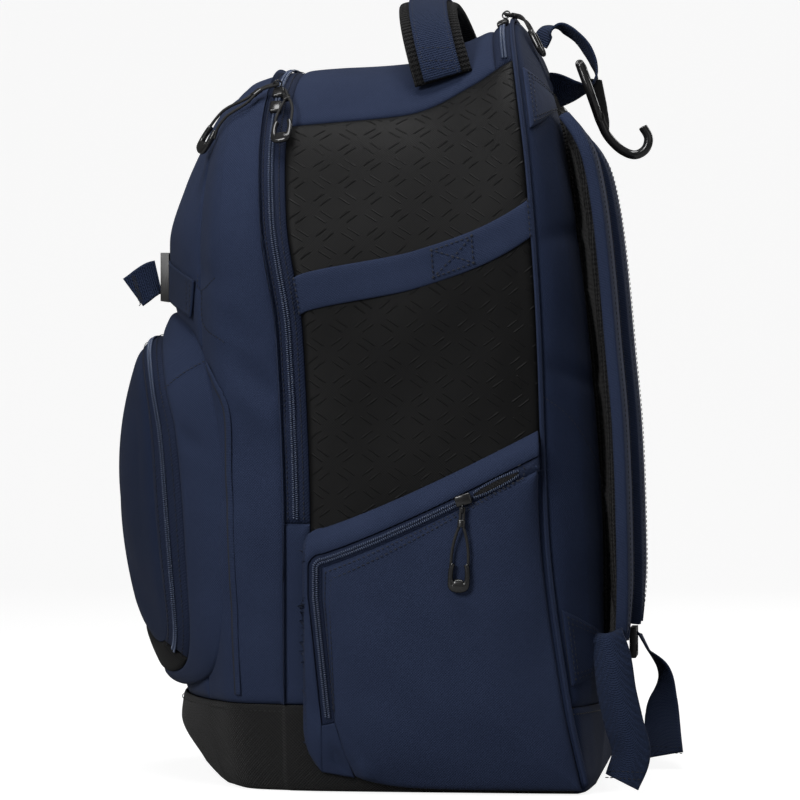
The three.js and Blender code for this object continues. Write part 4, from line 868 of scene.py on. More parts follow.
# Front pocket: a bulging lid inside a curved zip, on a gusset that stands off the pack. Rings round it are
# rows of half width, foot, arch of the foot and top; the depths follow the heights. Black trim closes the
# foot of the zip.
POCKET_HALF = 0.15
POCKET_MIDDLE = 0.36 * PACK_HEIGHT
LID_MIDDLE = 0.42 * PACK_HEIGHT
LID_DEPTH = -0.631 * PACK_DEPTH
POCKET_LEVELS = (0.126, 0.189, 0.253, 0.368, 0.457, 0.514, 0.585)
POCKET_RINGS = {
    "rim": {"half": 1, "foot": 0.118, "arch": 0.004, "top": 0.615},
    "zip outer": {"half": 0.83, "foot": 0.127, "arch": 0.013, "top": 0.585,
                  "side": (-0.385, -0.41, -0.423, -0.436, -0.449, -0.468, -0.481),
                  "crown": (-0.532, -0.538, -0.532, -0.526, -0.519, -0.519, -0.522)},
    "zip inner": {"half": 0.72, "foot": 0.137, "arch": 0.072, "top": 0.57,
                  "side": (-0.436, -0.468, -0.487, -0.506, -0.514, -0.522, -0.538),
                  "crown": (-0.574, -0.574, -0.571, -0.571, -0.571, -0.571, -0.571)},
}
RIM_LIFT = 0.0016


def front_depth_at(x, height):
    """Depth of the front at a place, also past the rim, where the gusset takes over"""
    x, height = np.broadcast_arrays(np.abs(x), height)
    edge = skin(float(FRONT_RIM), 1 - along_at(float(FRONT_RIM), height))
    reach = x / edge[..., 0]
    inside = edge[..., 1] + (crown_at(height) - edge[..., 1]) * (1 - np.clip(reach, 0, 1) ** CROWN_POWER)
    low, high = np.full(x.shape, float(FRONT_RIM)), np.full(x.shape, float(ZIP_FRONT))
    for _ in range(24):
        middle = (low + high) / 2
        short = skin(middle, 1 - along_at(middle, height))[..., 0] < x
        low, high = np.where(short, middle, low), np.where(short, high, middle)
    beyond = skin(low, 1 - along_at(low, height))[..., 1]
    return np.where(reach <= 1, inside, beyond)


def signed_power(value, power):
    return np.sign(value) * np.abs(value) ** power


def evened(u, strength):
    return u**strength / (u**strength + (1 - u) ** strength)


def pocket_ring(ring, angle):
    """Points of one of the pocket's rings at angles in turns from its right side"""
    sizes = POCKET_RINGS[ring]
    quarters = np.mod(angle, 1) * 4
    on_top = quarters < 2
    power = np.where(on_top, 2 / 3, 2 / 5)
    even = (np.floor(quarters) + evened(quarters % 1, np.where(on_top, 1.5, 2.2))) * math.pi / 2
    cos, sin = np.cos(even), np.sin(even)
    wide = sizes["half"] * POCKET_HALF
    x = wide * signed_power(cos, power)
    reach = np.abs(x) / wide
    low = PACK_HEIGHT * (sizes["foot"] + sizes["arch"] * (1 - reach**2))
    edge = np.where(sin > 0, sizes["top"] * PACK_HEIGHT, low)
    height = POCKET_MIDDLE + (edge - POCKET_MIDDLE) * np.abs(sin) ** power
    if "side" not in sizes:
        return np.stack([x, front_depth_at(x, height) - RIM_LIFT, height], -1)
    level = height / PACK_HEIGHT
    side = PACK_DEPTH * steady(POCKET_LEVELS, sizes["side"], level)
    crown = PACK_DEPTH * steady(POCKET_LEVELS, sizes["crown"], level)
    return np.stack([x, side + (crown - side) * (1 - reach**2), height], -1)


def pocket_band(name, start, stop, first, last, rows, columns, puff, material, wrapped=False, seed=20,
                roll=0.0016):
    turns = np.linspace(first, last, columns, endpoint=not wrapped)
    inner, outer = pocket_ring(start, turns), pocket_ring(stop, turns)
    share = np.linspace(0, 1, rows)[:, None, None]
    out = np.stack([np.cos(turns * 2 * math.pi), np.full(turns.shape, -0.3), np.sin(turns * 2 * math.pi)], -1)
    points = inner + (outer - inner) * share + out * puff * np.sin(np.pi * share)
    return cloth_wall(name, points, out, material, wrapped=wrapped, seed=seed, roll=roll)


GUSSET_BULGE = 0.0022
ZIP_TURNS = (-4 / 32, 20 / 32)
placed(pocket_band("front_pocket_gusset_cloth", "rim", "zip outer", 0, 1, 40, 420, GUSSET_BULGE, navy_cloth,
                   wrapped=True), "fabric_navy", "front_pocket_gusset")
placed(pocket_band("front_pocket_zip_tape", "zip outer", "zip inner", *ZIP_TURNS, 22, 320, 0.0, tape_cloth,
                   seed=21, roll=0.0022), "zip_tape", "front_pocket_zip")
placed(pocket_band("front_pocket_trim_cloth", "zip outer", "zip inner", ZIP_TURNS[1], ZIP_TURNS[0] + 1, 20,
                   120, 0.0015, black_cloth_and_gap_shade, seed=22), "panel_black", "front_pocket_trim")
coil_turns = np.linspace(ZIP_TURNS[0] + 0.002, ZIP_TURNS[1] - 0.002, 500)
coil_edges = [pocket_ring(ring, coil_turns) for ring in ("zip outer", "zip inner")]
coil_line = (coil_edges[0] + coil_edges[1]) / 2
pocket_out = unit(np.cross(tangents(coil_line), coil_edges[1] - coil_edges[0]))
pocket_out = np.where(pocket_out[:, 1:2] > 0, -pocket_out, pocket_out)
coil_along("front_pocket_coil", coil_line + pocket_out * 0.001, pocket_out)
tape_lines = []
for share in (0.18, 0.82):
    line = coil_edges[0] + (coil_edges[1] - coil_edges[0]) * share
    tape_lines.append(stitch_line(line, pocket_out, 0.0003))
stitches("front_pocket_stitches", tape_lines, "zip_tape")

LID_POWER = 2.2


def lid_ring(share, drop):
    """A ring of the lid, from its zip at share 1 to its middle at 0; drop sets it in for the inner face"""
    turns = np.linspace(0, 1, 320, endpoint=False)
    edge = pocket_ring("zip inner", turns)
    low, high = edge[:, 2].min(), edge[:, 2].max()
    angle = np.arctan2(edge[:, 2] - LID_MIDDLE, edge[:, 0] * (high - LID_MIDDLE) / edge[:, 0].max())
    oval_height = np.where(angle > 0, high - LID_MIDDLE, LID_MIDDLE - low)
    oval = np.stack([edge[:, 0].max() * np.cos(angle), edge[:, 1], LID_MIDDLE + oval_height * np.sin(angle)],
                    -1)
    edge = edge + (oval - edge) * (1 - share) ** 0.8
    depth = edge[:, 1] + (LID_DEPTH + drop - edge[:, 1]) * (1 - share**LID_POWER)
    ring = np.stack([edge[:, 0] * share, depth, LID_MIDDLE + (edge[:, 2] - LID_MIDDLE) * share], -1)
    outward = unit(ring - np.array([0, -0.05, LID_MIDDLE]))
    dents = 0.0014 * bumped(ring, 0.09, 23) * min(1, (1 - share) * 6)
    return ring + outward * (dents - 0.002 * math.exp(-(((1 - share) * 26) ** 1.3)))[:, None]


lid_rows = [math.sin(a) for a in np.linspace(0.03, math.pi / 2, 70)]
lid_rings = [lid_ring(share, 0.0) for share in lid_rows]
lid_inner = [ring + (0, 0.0022, 0) for ring in lid_rings[::-7]]
# The lid takes the darker navy: shade painted into its cloth
lid_cloth = lofted("front_pocket_lid_cloth", lid_rings + lid_inner, shaded_navy_cloth)
flat_weave(lid_cloth, 0, 2)
placed(lid_cloth, "fabric_navy", "front_pocket_lid")

# Seams of the pocket's gusset: two lines of stitches across its upper corners, where its pieces are joined
pocket_turns = np.linspace(0.01, 0.24, 200)
SEAM_AT_ZIP, SEAM_AT_RIM = 0.267, 0.2855
for suffix, mirror in (("right", lambda turn: turn), ("left", lambda turn: 0.5 - turn)):
    ends = []
    for ring, height in (("zip outer", SEAM_AT_ZIP), ("rim", SEAM_AT_RIM)):
        rising = pocket_ring(ring, pocket_turns)[:, 2]
        ends.append(pocket_ring(ring, np.array([mirror(float(np.interp(height, rising, pocket_turns)))]))[0])
    seam_share = np.linspace(0.03, 0.97, 60)[:, None]
    seam_line = ends[0] + (ends[1] - ends[0]) * seam_share
    seam_out = unit(np.array([math.copysign(0.75, ends[0][0]), -0.25, 0.6]))
    seam_line = seam_line + seam_out * (GUSSET_BULGE * np.sin(np.pi * seam_share) + 0.0008)
    stitches(f"pocket_seam_stitches_{suffix}", [stitch_line(seam_line, np.repeat(seam_out[None], 60, 0))])

# Side pockets: a gusset and a zip bend round the front edge and along the slanting hem; the face bulges
# between them, the floor and the piped back seam. Lines are placed by depth and height on the skin.
HEM_FRONT, HEM_BACK, HEM_CORNER = 0.172, 0.240, 0.014
FOOT_CORNER, SIDE_POCKET_FRONT, SIDE_POCKET_FOOT = 0.045, -0.047, 0.0025
PIPING_CLEARANCE = 0.003
SIDE_POCKET_BULGE = 0.011
ZIP_INSET, ZIP_FRONT_INSET, SIDE_ZIP_WIDTH = 0.017, 0.005, 0.009
LOW_TURN_HEIGHT = 0.130


def piping_depth(height):
    arc = 1 - along_at(float(PIPING), np.asarray(height, float))
    return skin(float(PIPING), arc)[..., 1] - PIPING_CLEARANCE


def hem_height(depth):
    share = np.clip((depth - SIDE_POCKET_FRONT) / (piping_depth(HEM_BACK) - SIDE_POCKET_FRONT), 0, None)
    return HEM_FRONT + (HEM_BACK - HEM_FRONT) * share**1.2


def bent_line(t, front_inset, hem_inset, start_height):
    """Up the front edge, round the corner and back along the hem, set in from both"""
    radius = HEM_CORNER - min(front_inset, HEM_CORNER - 0.002)
    front = SIDE_POCKET_FRONT + front_inset
    corner_top = hem_height(front + radius) - hem_inset
    turn, straight = 0.42, 0.5
    climb = start_height + (corner_top - radius - start_height) * (t / turn)
    drop = np.clip(FOOT_CORNER - climb, 0, None)
    if front_inset > 0:
        lean = 0.35 * drop + 0.1 * np.clip(LOW_TURN_HEIGHT - climb, 0, None)
    else:
        lean = FOOT_CORNER - np.sqrt(np.clip(FOOT_CORNER**2 - drop**2, 0, None))
    angle = (t - turn) / (straight - turn) * math.pi / 2
    share = (t - straight) / (1 - straight)
    back = piping_depth(HEM_BACK - hem_inset)
    along_hem = front + radius + (back - front - radius) * share
    depth = np.where(t < turn, front + lean, np.where(t < straight, front + radius * (1 - np.cos(angle)),
                                                      along_hem))
    height = np.where(t < turn, climb, np.where(t < straight, corner_top - radius * (1 - np.sin(angle)),
                                                hem_height(along_hem) - hem_inset))
    return np.stack([depth, height], -1)


def floor_line(t, top_inset):
    """Along the floor and up the piped seam"""
    turn = 0.5
    start = SIDE_POCKET_FRONT + FOOT_CORNER * 0.75
    share = np.clip(t / turn, 0, 1)
    rise = np.clip((t - turn) / (1 - turn), 0, 1)
    climb = SIDE_POCKET_FOOT + (HEM_BACK - top_inset - SIDE_POCKET_FOOT) * rise
    depth = np.where(t < turn, start + (piping_depth(SIDE_POCKET_FOOT) - start) * share, piping_depth(climb))
    height = np.where(t < turn, SIDE_POCKET_FOOT + 0.008 * (1 - share) ** 8, climb)
    return np.stack([depth, height], -1)


def shares_grid(rows, columns):
    return np.meshgrid(np.linspace(0, 1, rows), np.linspace(0, 1, columns), indexing="ij")


def over_side(places, side, lift):
    """Points and normals at places on one side, given by depth and height"""
    return on_skin(seam_at(places[..., 0], places[..., 1]), places[..., 1], side, lift)


def side_pocket_grid(side, first_line, second_line, rows, lift_at):
    u, v = shares_grid(rows, first_line.shape[0])
    return over_side(first_line + (second_line - first_line) * u[..., None], side, lift_at(u, v))


def side_pocket_corner(side):
    """The cloth below the zip's end, between the gusset's foot and the face's"""
    u, v = shares_grid(30, 30)
    feet = gusset_line[0] + (floor_line(line_shares, ZIP_INSET)[0] - gusset_line[0]) * v[..., None]
    heads = zip_line[0] + (face_line[0] - zip_line[0]) * v[..., None]
    top_lift = ZIP_LIFT + (FACE_LIFT - ZIP_LIFT) * 0.5 * v
    lift = SEATED + (top_lift - SEATED) * np.sin(u * math.pi / 2) - 0.0003
    return over_side(feet + (heads - feet) * u[..., None], side, lift)


def swept(name, centres, wides, widths, thicknesses, material, corners, squareness=(0.35, 0.8)):
    """A band or rod along a path: each section has its own width, thickness and direction across"""
    centres = np.asarray(centres, float)
    along = tangents(centres)
    wides = np.broadcast_to(wides, centres.shape)
    thick = unit(np.cross(along, wides))
    across = unit(np.cross(thick, along))
    angle = (np.arange(corners) + 0.5) / corners * 2 * math.pi
    w, t = (np.broadcast_to(size, centres.shape[:1])[:, None, None] / 2 for size in (widths, thicknesses))
    wide = signed_power(np.cos(angle), squareness[0])[None, :, None]
    high = signed_power(np.sin(angle), squareness[1])[None, :, None]
    return lofted(name, centres[:, None] + across[:, None] * (wide * w) + thick[:, None] * (high * t),
                  material)


SEATED = 0.0036
ZIP_LIFT = SEATED + 0.7 * SIDE_POCKET_BULGE
FACE_LIFT = SEATED + SIDE_POCKET_BULGE
LINE_POINTS = 260
line_shares = np.linspace(0, 1, LINE_POINTS)
gusset_line = bent_line(line_shares, 0.0, 0.0, 0.014)
zip_line = bent_line(line_shares, ZIP_FRONT_INSET, ZIP_INSET, 0.046)
face_line = bent_line(line_shares, ZIP_FRONT_INSET + SIDE_ZIP_WIDTH, ZIP_INSET + SIDE_ZIP_WIDTH, 0.048)
CLOSED_PART = slice(int(0.02 * LINE_POINTS), int(0.825 * LINE_POINTS))
OPEN_PART = slice(int(0.85 * LINE_POINTS), int(0.955 * LINE_POINTS))
COIL_LIFT = 0.0008
for suffix, side in (("right", 1), ("left", -1)):
    points, normals = side_pocket_grid(side, gusset_line, zip_line, 34,
                                       lambda u, v: SEATED + (ZIP_LIFT - SEATED) * np.sin(u * math.pi / 2))
    placed(cloth_wall(f"side_pocket_gusset_cloth_{suffix}", points, normals, navy_cloth, puff=0.0015,
                      uneven=0.0008, roll=0.0004, seed=30,
                      uv_plane=[1, 2]), "fabric_navy", f"side_pocket_gusset_{suffix}")
    placed(cloth_wall(f"side_pocket_corner_{suffix}", *side_pocket_corner(side), navy_cloth, roll=0.0004,
                      uneven=0.0006, seed=33, uv_plane=[1, 2]), "fabric_navy")
    points, normals = side_pocket_grid(side, zip_line, face_line, 14,
                                       lambda u, v: ZIP_LIFT + (FACE_LIFT - ZIP_LIFT) * 0.5 * u)
    placed(cloth_wall(f"side_pocket_zip_tape_{suffix}", points, normals, tape_cloth, roll=0.0018,
                      uneven=0.0001, seed=31), "zip_tape", f"side_pocket_zip_{suffix}")
    zip_middle, zip_out, apart = points[7], normals[7], unit(points[9] - points[7])
    coil_along(f"side_pocket_coil_{suffix}", (zip_middle + zip_out * COIL_LIFT)[CLOSED_PART],
               zip_out[CLOSED_PART])
    gap_middle, gap_out, gap_side = zip_middle[OPEN_PART], zip_out[OPEN_PART], apart[OPEN_PART]
    gap_width = 0.0042 * np.sin(np.pi * np.linspace(0.04, 0.96, len(gap_middle))) ** 0.5
    teeth_rows = [(gap_middle + gap_out * COIL_LIFT + gap_side * turn * (gap_width[:, None] / 2 + 0.0008),
                   gap_out, gap_side) for turn in (1, -1)]
    bars_along(f"side_pocket_open_coil_{suffix}", teeth_rows, COIL["pitch"], (0.0022, 0.0009, 0.0014),
               coil_nylon, "zip_tape")
    # A black strip in the open part of the zip: the painted shadow inside the pocket
    placed(swept(f"side_pocket_gap_shadow_{suffix}", gap_middle + gap_out * 0.0002, gap_side, gap_width, 0.001,
                 black_cloth_and_gap_shade, corners=12), "zip_tape")
    end_turn, end = np.linspace(-0.5 * math.pi, 0.5 * math.pi, 20)[:, None], OPEN_PART.stop
    end_ahead = unit(zip_middle[end] - zip_middle[end - 4])
    end_loop = zip_middle[end] + 0.0035 * np.cos(end_turn) * end_ahead
    end_loop = end_loop + 0.0048 * np.sin(end_turn) * apart[end]
    gap_lines = [stitch_line(end_loop, np.repeat(zip_out[end][None], 20, 0), 0.0009)]

    def face_lift(u, v):
        edge = (ZIP_LIFT + FACE_LIFT) / 2
        bulge = 0.35 * SIDE_POCKET_BULGE * np.sin(np.pi * u) * np.sin(np.pi * v)
        return edge + bulge - (edge - SEATED) * u**3

    points, normals = side_pocket_grid(side, face_line, floor_line(line_shares, ZIP_INSET + SIDE_ZIP_WIDTH),
                                       110, face_lift)
    placed(cloth_wall(f"side_pocket_face_cloth_{suffix}", points, normals, navy_cloth, puff=0.0012,
                      uneven=0.0009, roll=0.002, seed=32,
                      uv_plane=[1, 2]), "fabric_navy", f"side_pocket_face_{suffix}")
    # A flange of the darker navy over the seam between pocket and piping: painted shade along that seam
    seams, heights = np.meshgrid(np.linspace(PIPING - 0.16, PIPING - 0.012, 12),
                                 np.linspace(0.006, 0.232, 70))
    placed(cloth_wall(f"side_pocket_flange_{suffix}", *on_skin(seams, heights, side, 0.0018), shaded_navy_cloth,
                      wall=0.001, roll=0.0004, uneven=0.0002, seed=34), "fabric_navy")
    face_lines = [stitch_line(points[row, 12:250], normals[row, 12:250], 0.0012) for row in (2, 5)]
    stitches(f"side_pocket_stitches_{suffix}", face_lines + gap_lines)

# Side straps: navy cloth bands for bat handles, sewn flat across the embossed panels with a crossed box of
# stitches
STRAP_FRONT_HEIGHT, STRAP_BACK_HEIGHT, SIDE_STRAP_WIDTH = 0.328, 0.380, 0.0244
STRAP_ENDS = (ZIP_BACK + 0.02, PIPING - 0.04)


def on_side_strap(share, across, side, lift):
    seam = STRAP_ENDS[0] + (STRAP_ENDS[1] - STRAP_ENDS[0]) * share
    height = STRAP_FRONT_HEIGHT + (STRAP_BACK_HEIGHT - STRAP_FRONT_HEIGHT) * share + SIDE_STRAP_WIDTH * across
    return on_skin(seam, height, side, lift)


for suffix, side in (("right", 1), ("left", -1)):
    share, across = np.meshgrid(np.linspace(0, 1, 150), np.linspace(-0.5, 0.5, 24), indexing="ij")
    placed(cloth_wall(f"side_strap_cloth_{suffix}", *on_side_strap(share, across, side, 0.0032), navy_cloth,
                      wall=0.0026, roll=0.0009, uneven=0.0003, seed=40, uv_turn=True),
           "webbing_navy", f"side_strap_{suffix}")
    corners = np.array([(0.41, -0.36), (0.59, -0.36), (0.59, 0.36), (0.41, 0.36)])
    box_lines = []
    for first, second in ((0, 1), (1, 2), (2, 3), (3, 0), (0, 2), (1, 3)):
        run = np.linspace(0, 1, 40)[:, None]
        share, across = (corners[first] + (corners[second] - corners[first]) * run).T
        box_lines.append(stitch_line(*on_side_strap(share, across, side, 0.0041)))
    for edge in (0.012, 0.985):
        run = np.linspace(-0.46, 0.46, 30)
        box_lines.append(stitch_line(*on_side_strap(np.full(30, edge), run, side, 0.0041)))
    stitches(f"side_strap_stitches_{suffix}", box_lines, "webbing_navy", (0.0027, 0.0010, 0.0008))

# Seams on the gussets: a folded lip down the front corner with a thin dark strip beside it, the painted
# shadow of a pressed groove, and stitched curves where the front strap is anchored and where the back gusset
# is joined over its foam.
CORNER_SEAM = ((-0.115, 0.284), (-0.107, 0.271), (-0.0998, 0.256), (-0.0975, 0.2), (-0.094, 0.12),
               (-0.0915, 0.064))
GUSSET_SEAMS = {
    "anchor_top": ((-0.1305, 0.344), (-0.1205, 0.334), (-0.1095, 0.341)),
    "anchor_low": ((-0.1203, 0.332), (-0.1183, 0.311), (-0.102, 0.299)),
    "back_curve": ((0.1115, 0.262), (0.124, 0.252), (0.1345, 0.238), (0.144, 0.216), (0.150, 0.186)),
}


def smooth_path(points, count):
    """Evenly spaced points on a smooth curve through the given ones"""
    points = np.asarray(points, float)
    knots = np.concatenate([[0], np.cumsum(np.linalg.norm(np.diff(points, axis=0), axis=1) ** 0.5)])
    slopes = np.gradient(points, knots, axis=0)
    fine = np.linspace(0, knots[-1], count * 6)
    i = np.clip(np.searchsorted(knots, fine, side="right") - 1, 0, len(knots) - 2)
    span = (knots[i + 1] - knots[i])[:, None]
    t = (fine - knots[i])[:, None] / span
    curve = (points[i] * (2 * t**3 - 3 * t**2 + 1) + points[i + 1] * (3 * t**2 - 2 * t**3)
             + span * (slopes[i] * (t**3 - 2 * t**2 + t) + slopes[i + 1] * (t**3 - t**2)))
    run = lengths_along(curve, 0)
    even = np.linspace(0, run[-1], count)
    return np.stack([np.interp(even, run, curve[:, k]) for k in range(3)], -1)


def seam_line(places, side, lift):
    """Points and normals of a line over the cloth, through places given by depth and height"""
    line = smooth_path([(0, depth, height) for depth, height in places], 160)
    points, normals = over_side(line[:, 1:], side, lift)
    return points - normals * crease_depth(points)[:, None], normals


for suffix, side in (("right", 1), ("left", -1)):
    points, normals = seam_line(CORNER_SEAM, side, 0.0018)
    beside = unit(np.cross(tangents(points), normals))
    placed(swept(f"gusset_lip_{suffix}", points, beside, 0.004, 0.0016, navy_cloth, corners=12,
                 squareness=(0.8, 0.8)),
           "fabric_navy")
    # A thin dark strip beside the lip: the painted shadow of a groove
    beside = beside * -np.sign(beside[:, 1].mean())
    placed(swept(f"gusset_groove_shadow_{suffix}", points + beside * 0.0021 - normals * 0.0002, beside, 0.002,
                 0.0009, navy_thread_and_shade, corners=8), "fabric_navy")
    stitches(f"gusset_stitches_{suffix}",
             [stitch_line(*seam_line(places, side, 0.0014), 0.0003) for places in GUSSET_SEAMS.values()])

# Piping: a cord in a folded strip of navy cloth, sewn into the back seam from floor to floor
PIPING_RADIUS = 0.0015
PIPING_FOOT = 0.007
foot_along = float(along_at(float(PIPING), np.array(PIPING_FOOT)))
piping_arc = np.linspace(1 - foot_along, foot_along - 1, 700)
piping_out = skin_normal(np.full(700, float(PIPING)), piping_arc)
piping_line = skin(float(PIPING), piping_arc) + piping_out * PIPING_RADIUS
placed(swept("back_piping_cord", piping_line, piping_out, 2.2 * PIPING_RADIUS, 2.2 * PIPING_RADIUS,
             navy_cloth, corners=10, squareness=(1, 1)), "fabric_navy", "back_piping")

# Haul handle: a padded band of black mesh bent over the top between the side seams, with ribbed navy
# webbing sewn along it and stitched across at its feet


def ribbon(name, centres, wides, width, thickness, seed=50):
    """Flat webbing along a path; wides point across it at each place"""
    run = tangents(centres)
    across = unit(wides - run * np.sum(wides * run, -1, keepdims=True))
    points = centres[:, None] + across[:, None] * np.linspace(-width / 2, width / 2, 15)[None, :, None]
    outwards = np.cross(run, across)[:, None]
    return cloth_wall(name, points + outwards * thickness / 2, outwards, navy_webbing, wall=thickness,
                      roll=thickness * 0.25, uneven=0.0002, seed=seed, ends_rolled=False, uv_turn=True)


def ribs(tree, uv, height, shade):
    """Ribs that run across webbing"""
    rib = waves(tree, uv, 0.0016)[0]
    return maths(tree, "MULTIPLY_ADD", rib, 1.2, height), maths(tree, "MULTIPLY_ADD", rib, 0.16, shade)


navy_webbing = cloth_material("navy webbing", (0.0078, 0.0142, 0.037), (0.022, 0.0345, 0.076), 0.0011,
                              0.00022, relief=ribs)
HANDLE_WIDTH, HANDLE_THICKNESS, HANDLE_RISE = 0.040, 0.007, 0.015
WEBBING_WIDTH, WEBBING_THICKNESS = 0.026, 0.0016
HANDLE_FOOT = (0.64 * HALF_WIDTH, 0.138 * PACK_DEPTH, 0.892 * PACK_HEIGHT)
HANDLE_CREST = (0.075 * PACK_DEPTH, PACK_HEIGHT + HANDLE_RISE - HANDLE_THICKNESS / 2 - WEBBING_THICKNESS)


def stitches_across(middle, wide, facing, lift):
    """A row of stitches straight across webbing"""
    line = middle + np.linspace(-0.46, 0.46, 24)[:, None] * WEBBING_WIDTH * wide
    return stitch_line(line, np.repeat(facing[None], 24, 0), lift)


def handle_path(lift):
    angle = np.linspace(0.02, 0.98, 150) * math.pi
    up, out = np.sin(angle) ** 0.75, signed_power(np.cos(angle), 0.9)
    foot_x, foot_y, foot_z = HANDLE_FOOT
    return np.stack([(foot_x + lift) * out, foot_y + (HANDLE_CREST[0] - foot_y) * up,
                     foot_z + (HANDLE_CREST[1] - foot_z + lift) * up], -1)


handle_pad = swept("handle_padding", handle_path(0.0), BACKWARDS, HANDLE_WIDTH, HANDLE_THICKNESS, spacer_mesh,
                   corners=28, squareness=(0.55, 0.75))
placed(handle_pad, "mesh_black", "handle_band")
handle_strip = handle_path(HANDLE_THICKNESS / 2 + WEBBING_THICKNESS / 2)
placed(ribbon("handle_strip", handle_strip, BACKWARDS * np.ones_like(handle_strip), WEBBING_WIDTH,
              WEBBING_THICKNESS), "webbing_navy", "handle_webbing")
handle_lines = []
handle_out = unit(np.cross(BACKWARDS, tangents(handle_strip)))
handle_out = np.where(handle_out[:, 2:] < 0, -handle_out, handle_out)
for edge in (-0.42, 0.42):
    line = handle_strip + BACKWARDS * edge * WEBBING_WIDTH
    handle_lines.append(stitch_line(line[2:-2], handle_out[2:-2], WEBBING_THICKNESS / 2))
for row in (3, 6, 12, -13, -7, -4):
    handle_lines.append(stitches_across(handle_strip[row], BACKWARDS, handle_out[row], WEBBING_THICKNESS / 2))
stitches("handle_stitches", handle_lines, "webbing_navy")

# Yokes and anchor tabs: folded triangles of cloth, sewn on to the back corner, that carry the shoulder straps
YOKE_HEIGHTS = {"low": (0.838, 0.868), "high": (0.918, 0.888)}
TAB_HEIGHTS = {"low": (0.137, 0.152), "high": (0.232, 0.202)}
PATCH_SEAMS = (PIPING + 0.2, BACK_RIM - 0.35)
PATCH_LIFT, PATCH_WALL = 0.0009, 0.0018


def patch_places(heights, share, climb):
    seam = PATCH_SEAMS[0] + (PATCH_SEAMS[1] - PATCH_SEAMS[0]) * share
    low = heights["low"][0] + (heights["low"][1] - heights["low"][0]) * share
    high = heights["high"][0] + (heights["high"][1] - heights["high"][0]) * share
    return seam, PACK_HEIGHT * (low + (high - low) * climb)


for suffix, side in (("right", 1), ("left", -1)):
    # The anchor tabs take the darker copy of the navy, with its painted shade
    for name, heights, material, slot in (("yoke", YOKE_HEIGHTS, navy_cloth, "fabric_navy"),
                                          ("anchor_tab", TAB_HEIGHTS, shaded_navy_cloth, "fabric_dark")):
        patch, facing = on_skin(*patch_places(heights, *shares_grid(40, 40)), side, PATCH_LIFT + PATCH_WALL)
        placed(cloth_wall(f"{name}_cloth_{suffix}", patch, facing, material, wall=PATCH_WALL, roll=0.0008,
                          uneven=0.0004, seed=60), slot, f"{name}_{suffix}")
        lines = []
        for inset in (3, 6):
            inside = slice(inset, 40 - inset)
            for at in ((inset, inside), (inside, 39 - inset), (inside, inset)):
                lines.append(stitch_line(patch[at], facing[at], 0.0004))
        stitches(f"{name}_stitches_{suffix}", lines, slot, pitch=0.0036)

# Shoulder straps: foam between a navy cloth outside and black mesh on the wearer's side, bound along the
# edges. They are swollen by a short cloth simulation and lie along the back.
STRAP_TABLE = {
    "height": (0.862, 0.845, 0.812, 0.75, 0.66, 0.56, 0.46, 0.36, 0.27, 0.215, 0.185),
    "depth": (0.382, 0.405, 0.435, 0.458, 0.476, 0.491, 0.506, 0.513, 0.516, 0.514, 0.51),
    "spread": (0.86, 0.88, 0.92, 0.96, 1, 1.02, 1.04, 1.06, 1.09, 1.11, 1.12),
    "width": (0.8, 0.95, 1, 1, 1, 1, 1, 0.98, 0.9, 0.72, 0.56),
    "thickness": (0.4, 0.8, 1, 1, 1, 1, 1, 1, 1, 0.85, 0.5),
}
STRAP_WIDTH, STRAP_THICKNESS, STRAP_SPREAD = 0.066, 0.014, 0.101
ACROSS_BACK = np.array([1.0, 0, 0])


def strap_rows(side):
    knots = np.linspace(0, 1, len(STRAP_TABLE["height"]))
    at = np.linspace(0, 1, 90)
    rows = {column: steady(knots, values, at) for column, values in STRAP_TABLE.items()}
    centres = np.stack([side * STRAP_SPREAD * rows["spread"], PACK_DEPTH * rows["depth"],
                        PACK_HEIGHT * rows["height"]], -1)
    return centres, STRAP_WIDTH * rows["width"], STRAP_THICKNESS * rows["thickness"]


def swollen(name, solid, pressure, most):
    """A soft copy of a closed form, remeshed and blown up by a cloth simulation, by no more than most"""
    bpy.context.view_layer.objects.active = solid
    remesh = solid.modifiers.new("even", "REMESH")
    remesh.mode, remesh.voxel_size = "VOXEL", 0.0045
    even = baked(solid)
    solid.modifiers.remove(remesh)
    pad = linked(name, even)
    rest = read_all(even.vertices, "co", 3)
    cloth = pad.modifiers.new("cloth", "CLOTH")
    cloth.settings.use_pressure = True
    cloth.settings.uniform_pressure_force = pressure
    cloth.settings.effector_weights.gravity = 0
    cloth.settings.quality = 4
    cloth.point_cache.frame_start, cloth.point_cache.frame_end = 1, 20
    for step in range(1, 21):
        bpy.context.scene.frame_set(step)
    blown = baked(pad)
    shift = read_all(blown.vertices, "co", 3) - rest
    pad.modifiers.remove(cloth)
    bpy.context.scene.frame_set(1)
    far = np.linalg.norm(shift, axis=1, keepdims=True)
    rest = rest + shift * np.minimum(1, most / np.maximum(far, 1e-9))
    even.vertices.foreach_set("co", rest.ravel())
    bpy.data.meshes.remove(blown)
    finer = pad.modifiers.new("finer", "SUBSURF")
    finer.levels = finer.render_levels = 1
    final = baked(pad)
    pad.modifiers.remove(finer)
    pad.data = final
    bpy.data.objects.remove(solid)
    return pad


def boxed_uv(piece):
    """Lays a weave on a remeshed pad from its front and its sides"""
    mesh = piece.data
    mesh.shade_smooth()
    layer = mesh.uv_layers.get("UVMap") or mesh.uv_layers.new(name="UVMap")
    sizes = read_all(mesh.polygons, "loop_total", 1, np.int32)[:, 0]
    on_side = np.repeat(np.abs(read_all(mesh.polygons, "normal", 3)[:, 0]) > 0.75, sizes)
    at = read_all(mesh.vertices, "co", 3)[read_all(mesh.loops, "vertex_index", 1, np.int32)[:, 0]]
    layer.data.foreach_set("uv", np.stack([np.where(on_side, at[:, 1], at[:, 0]), at[:, 2]], -1).ravel())


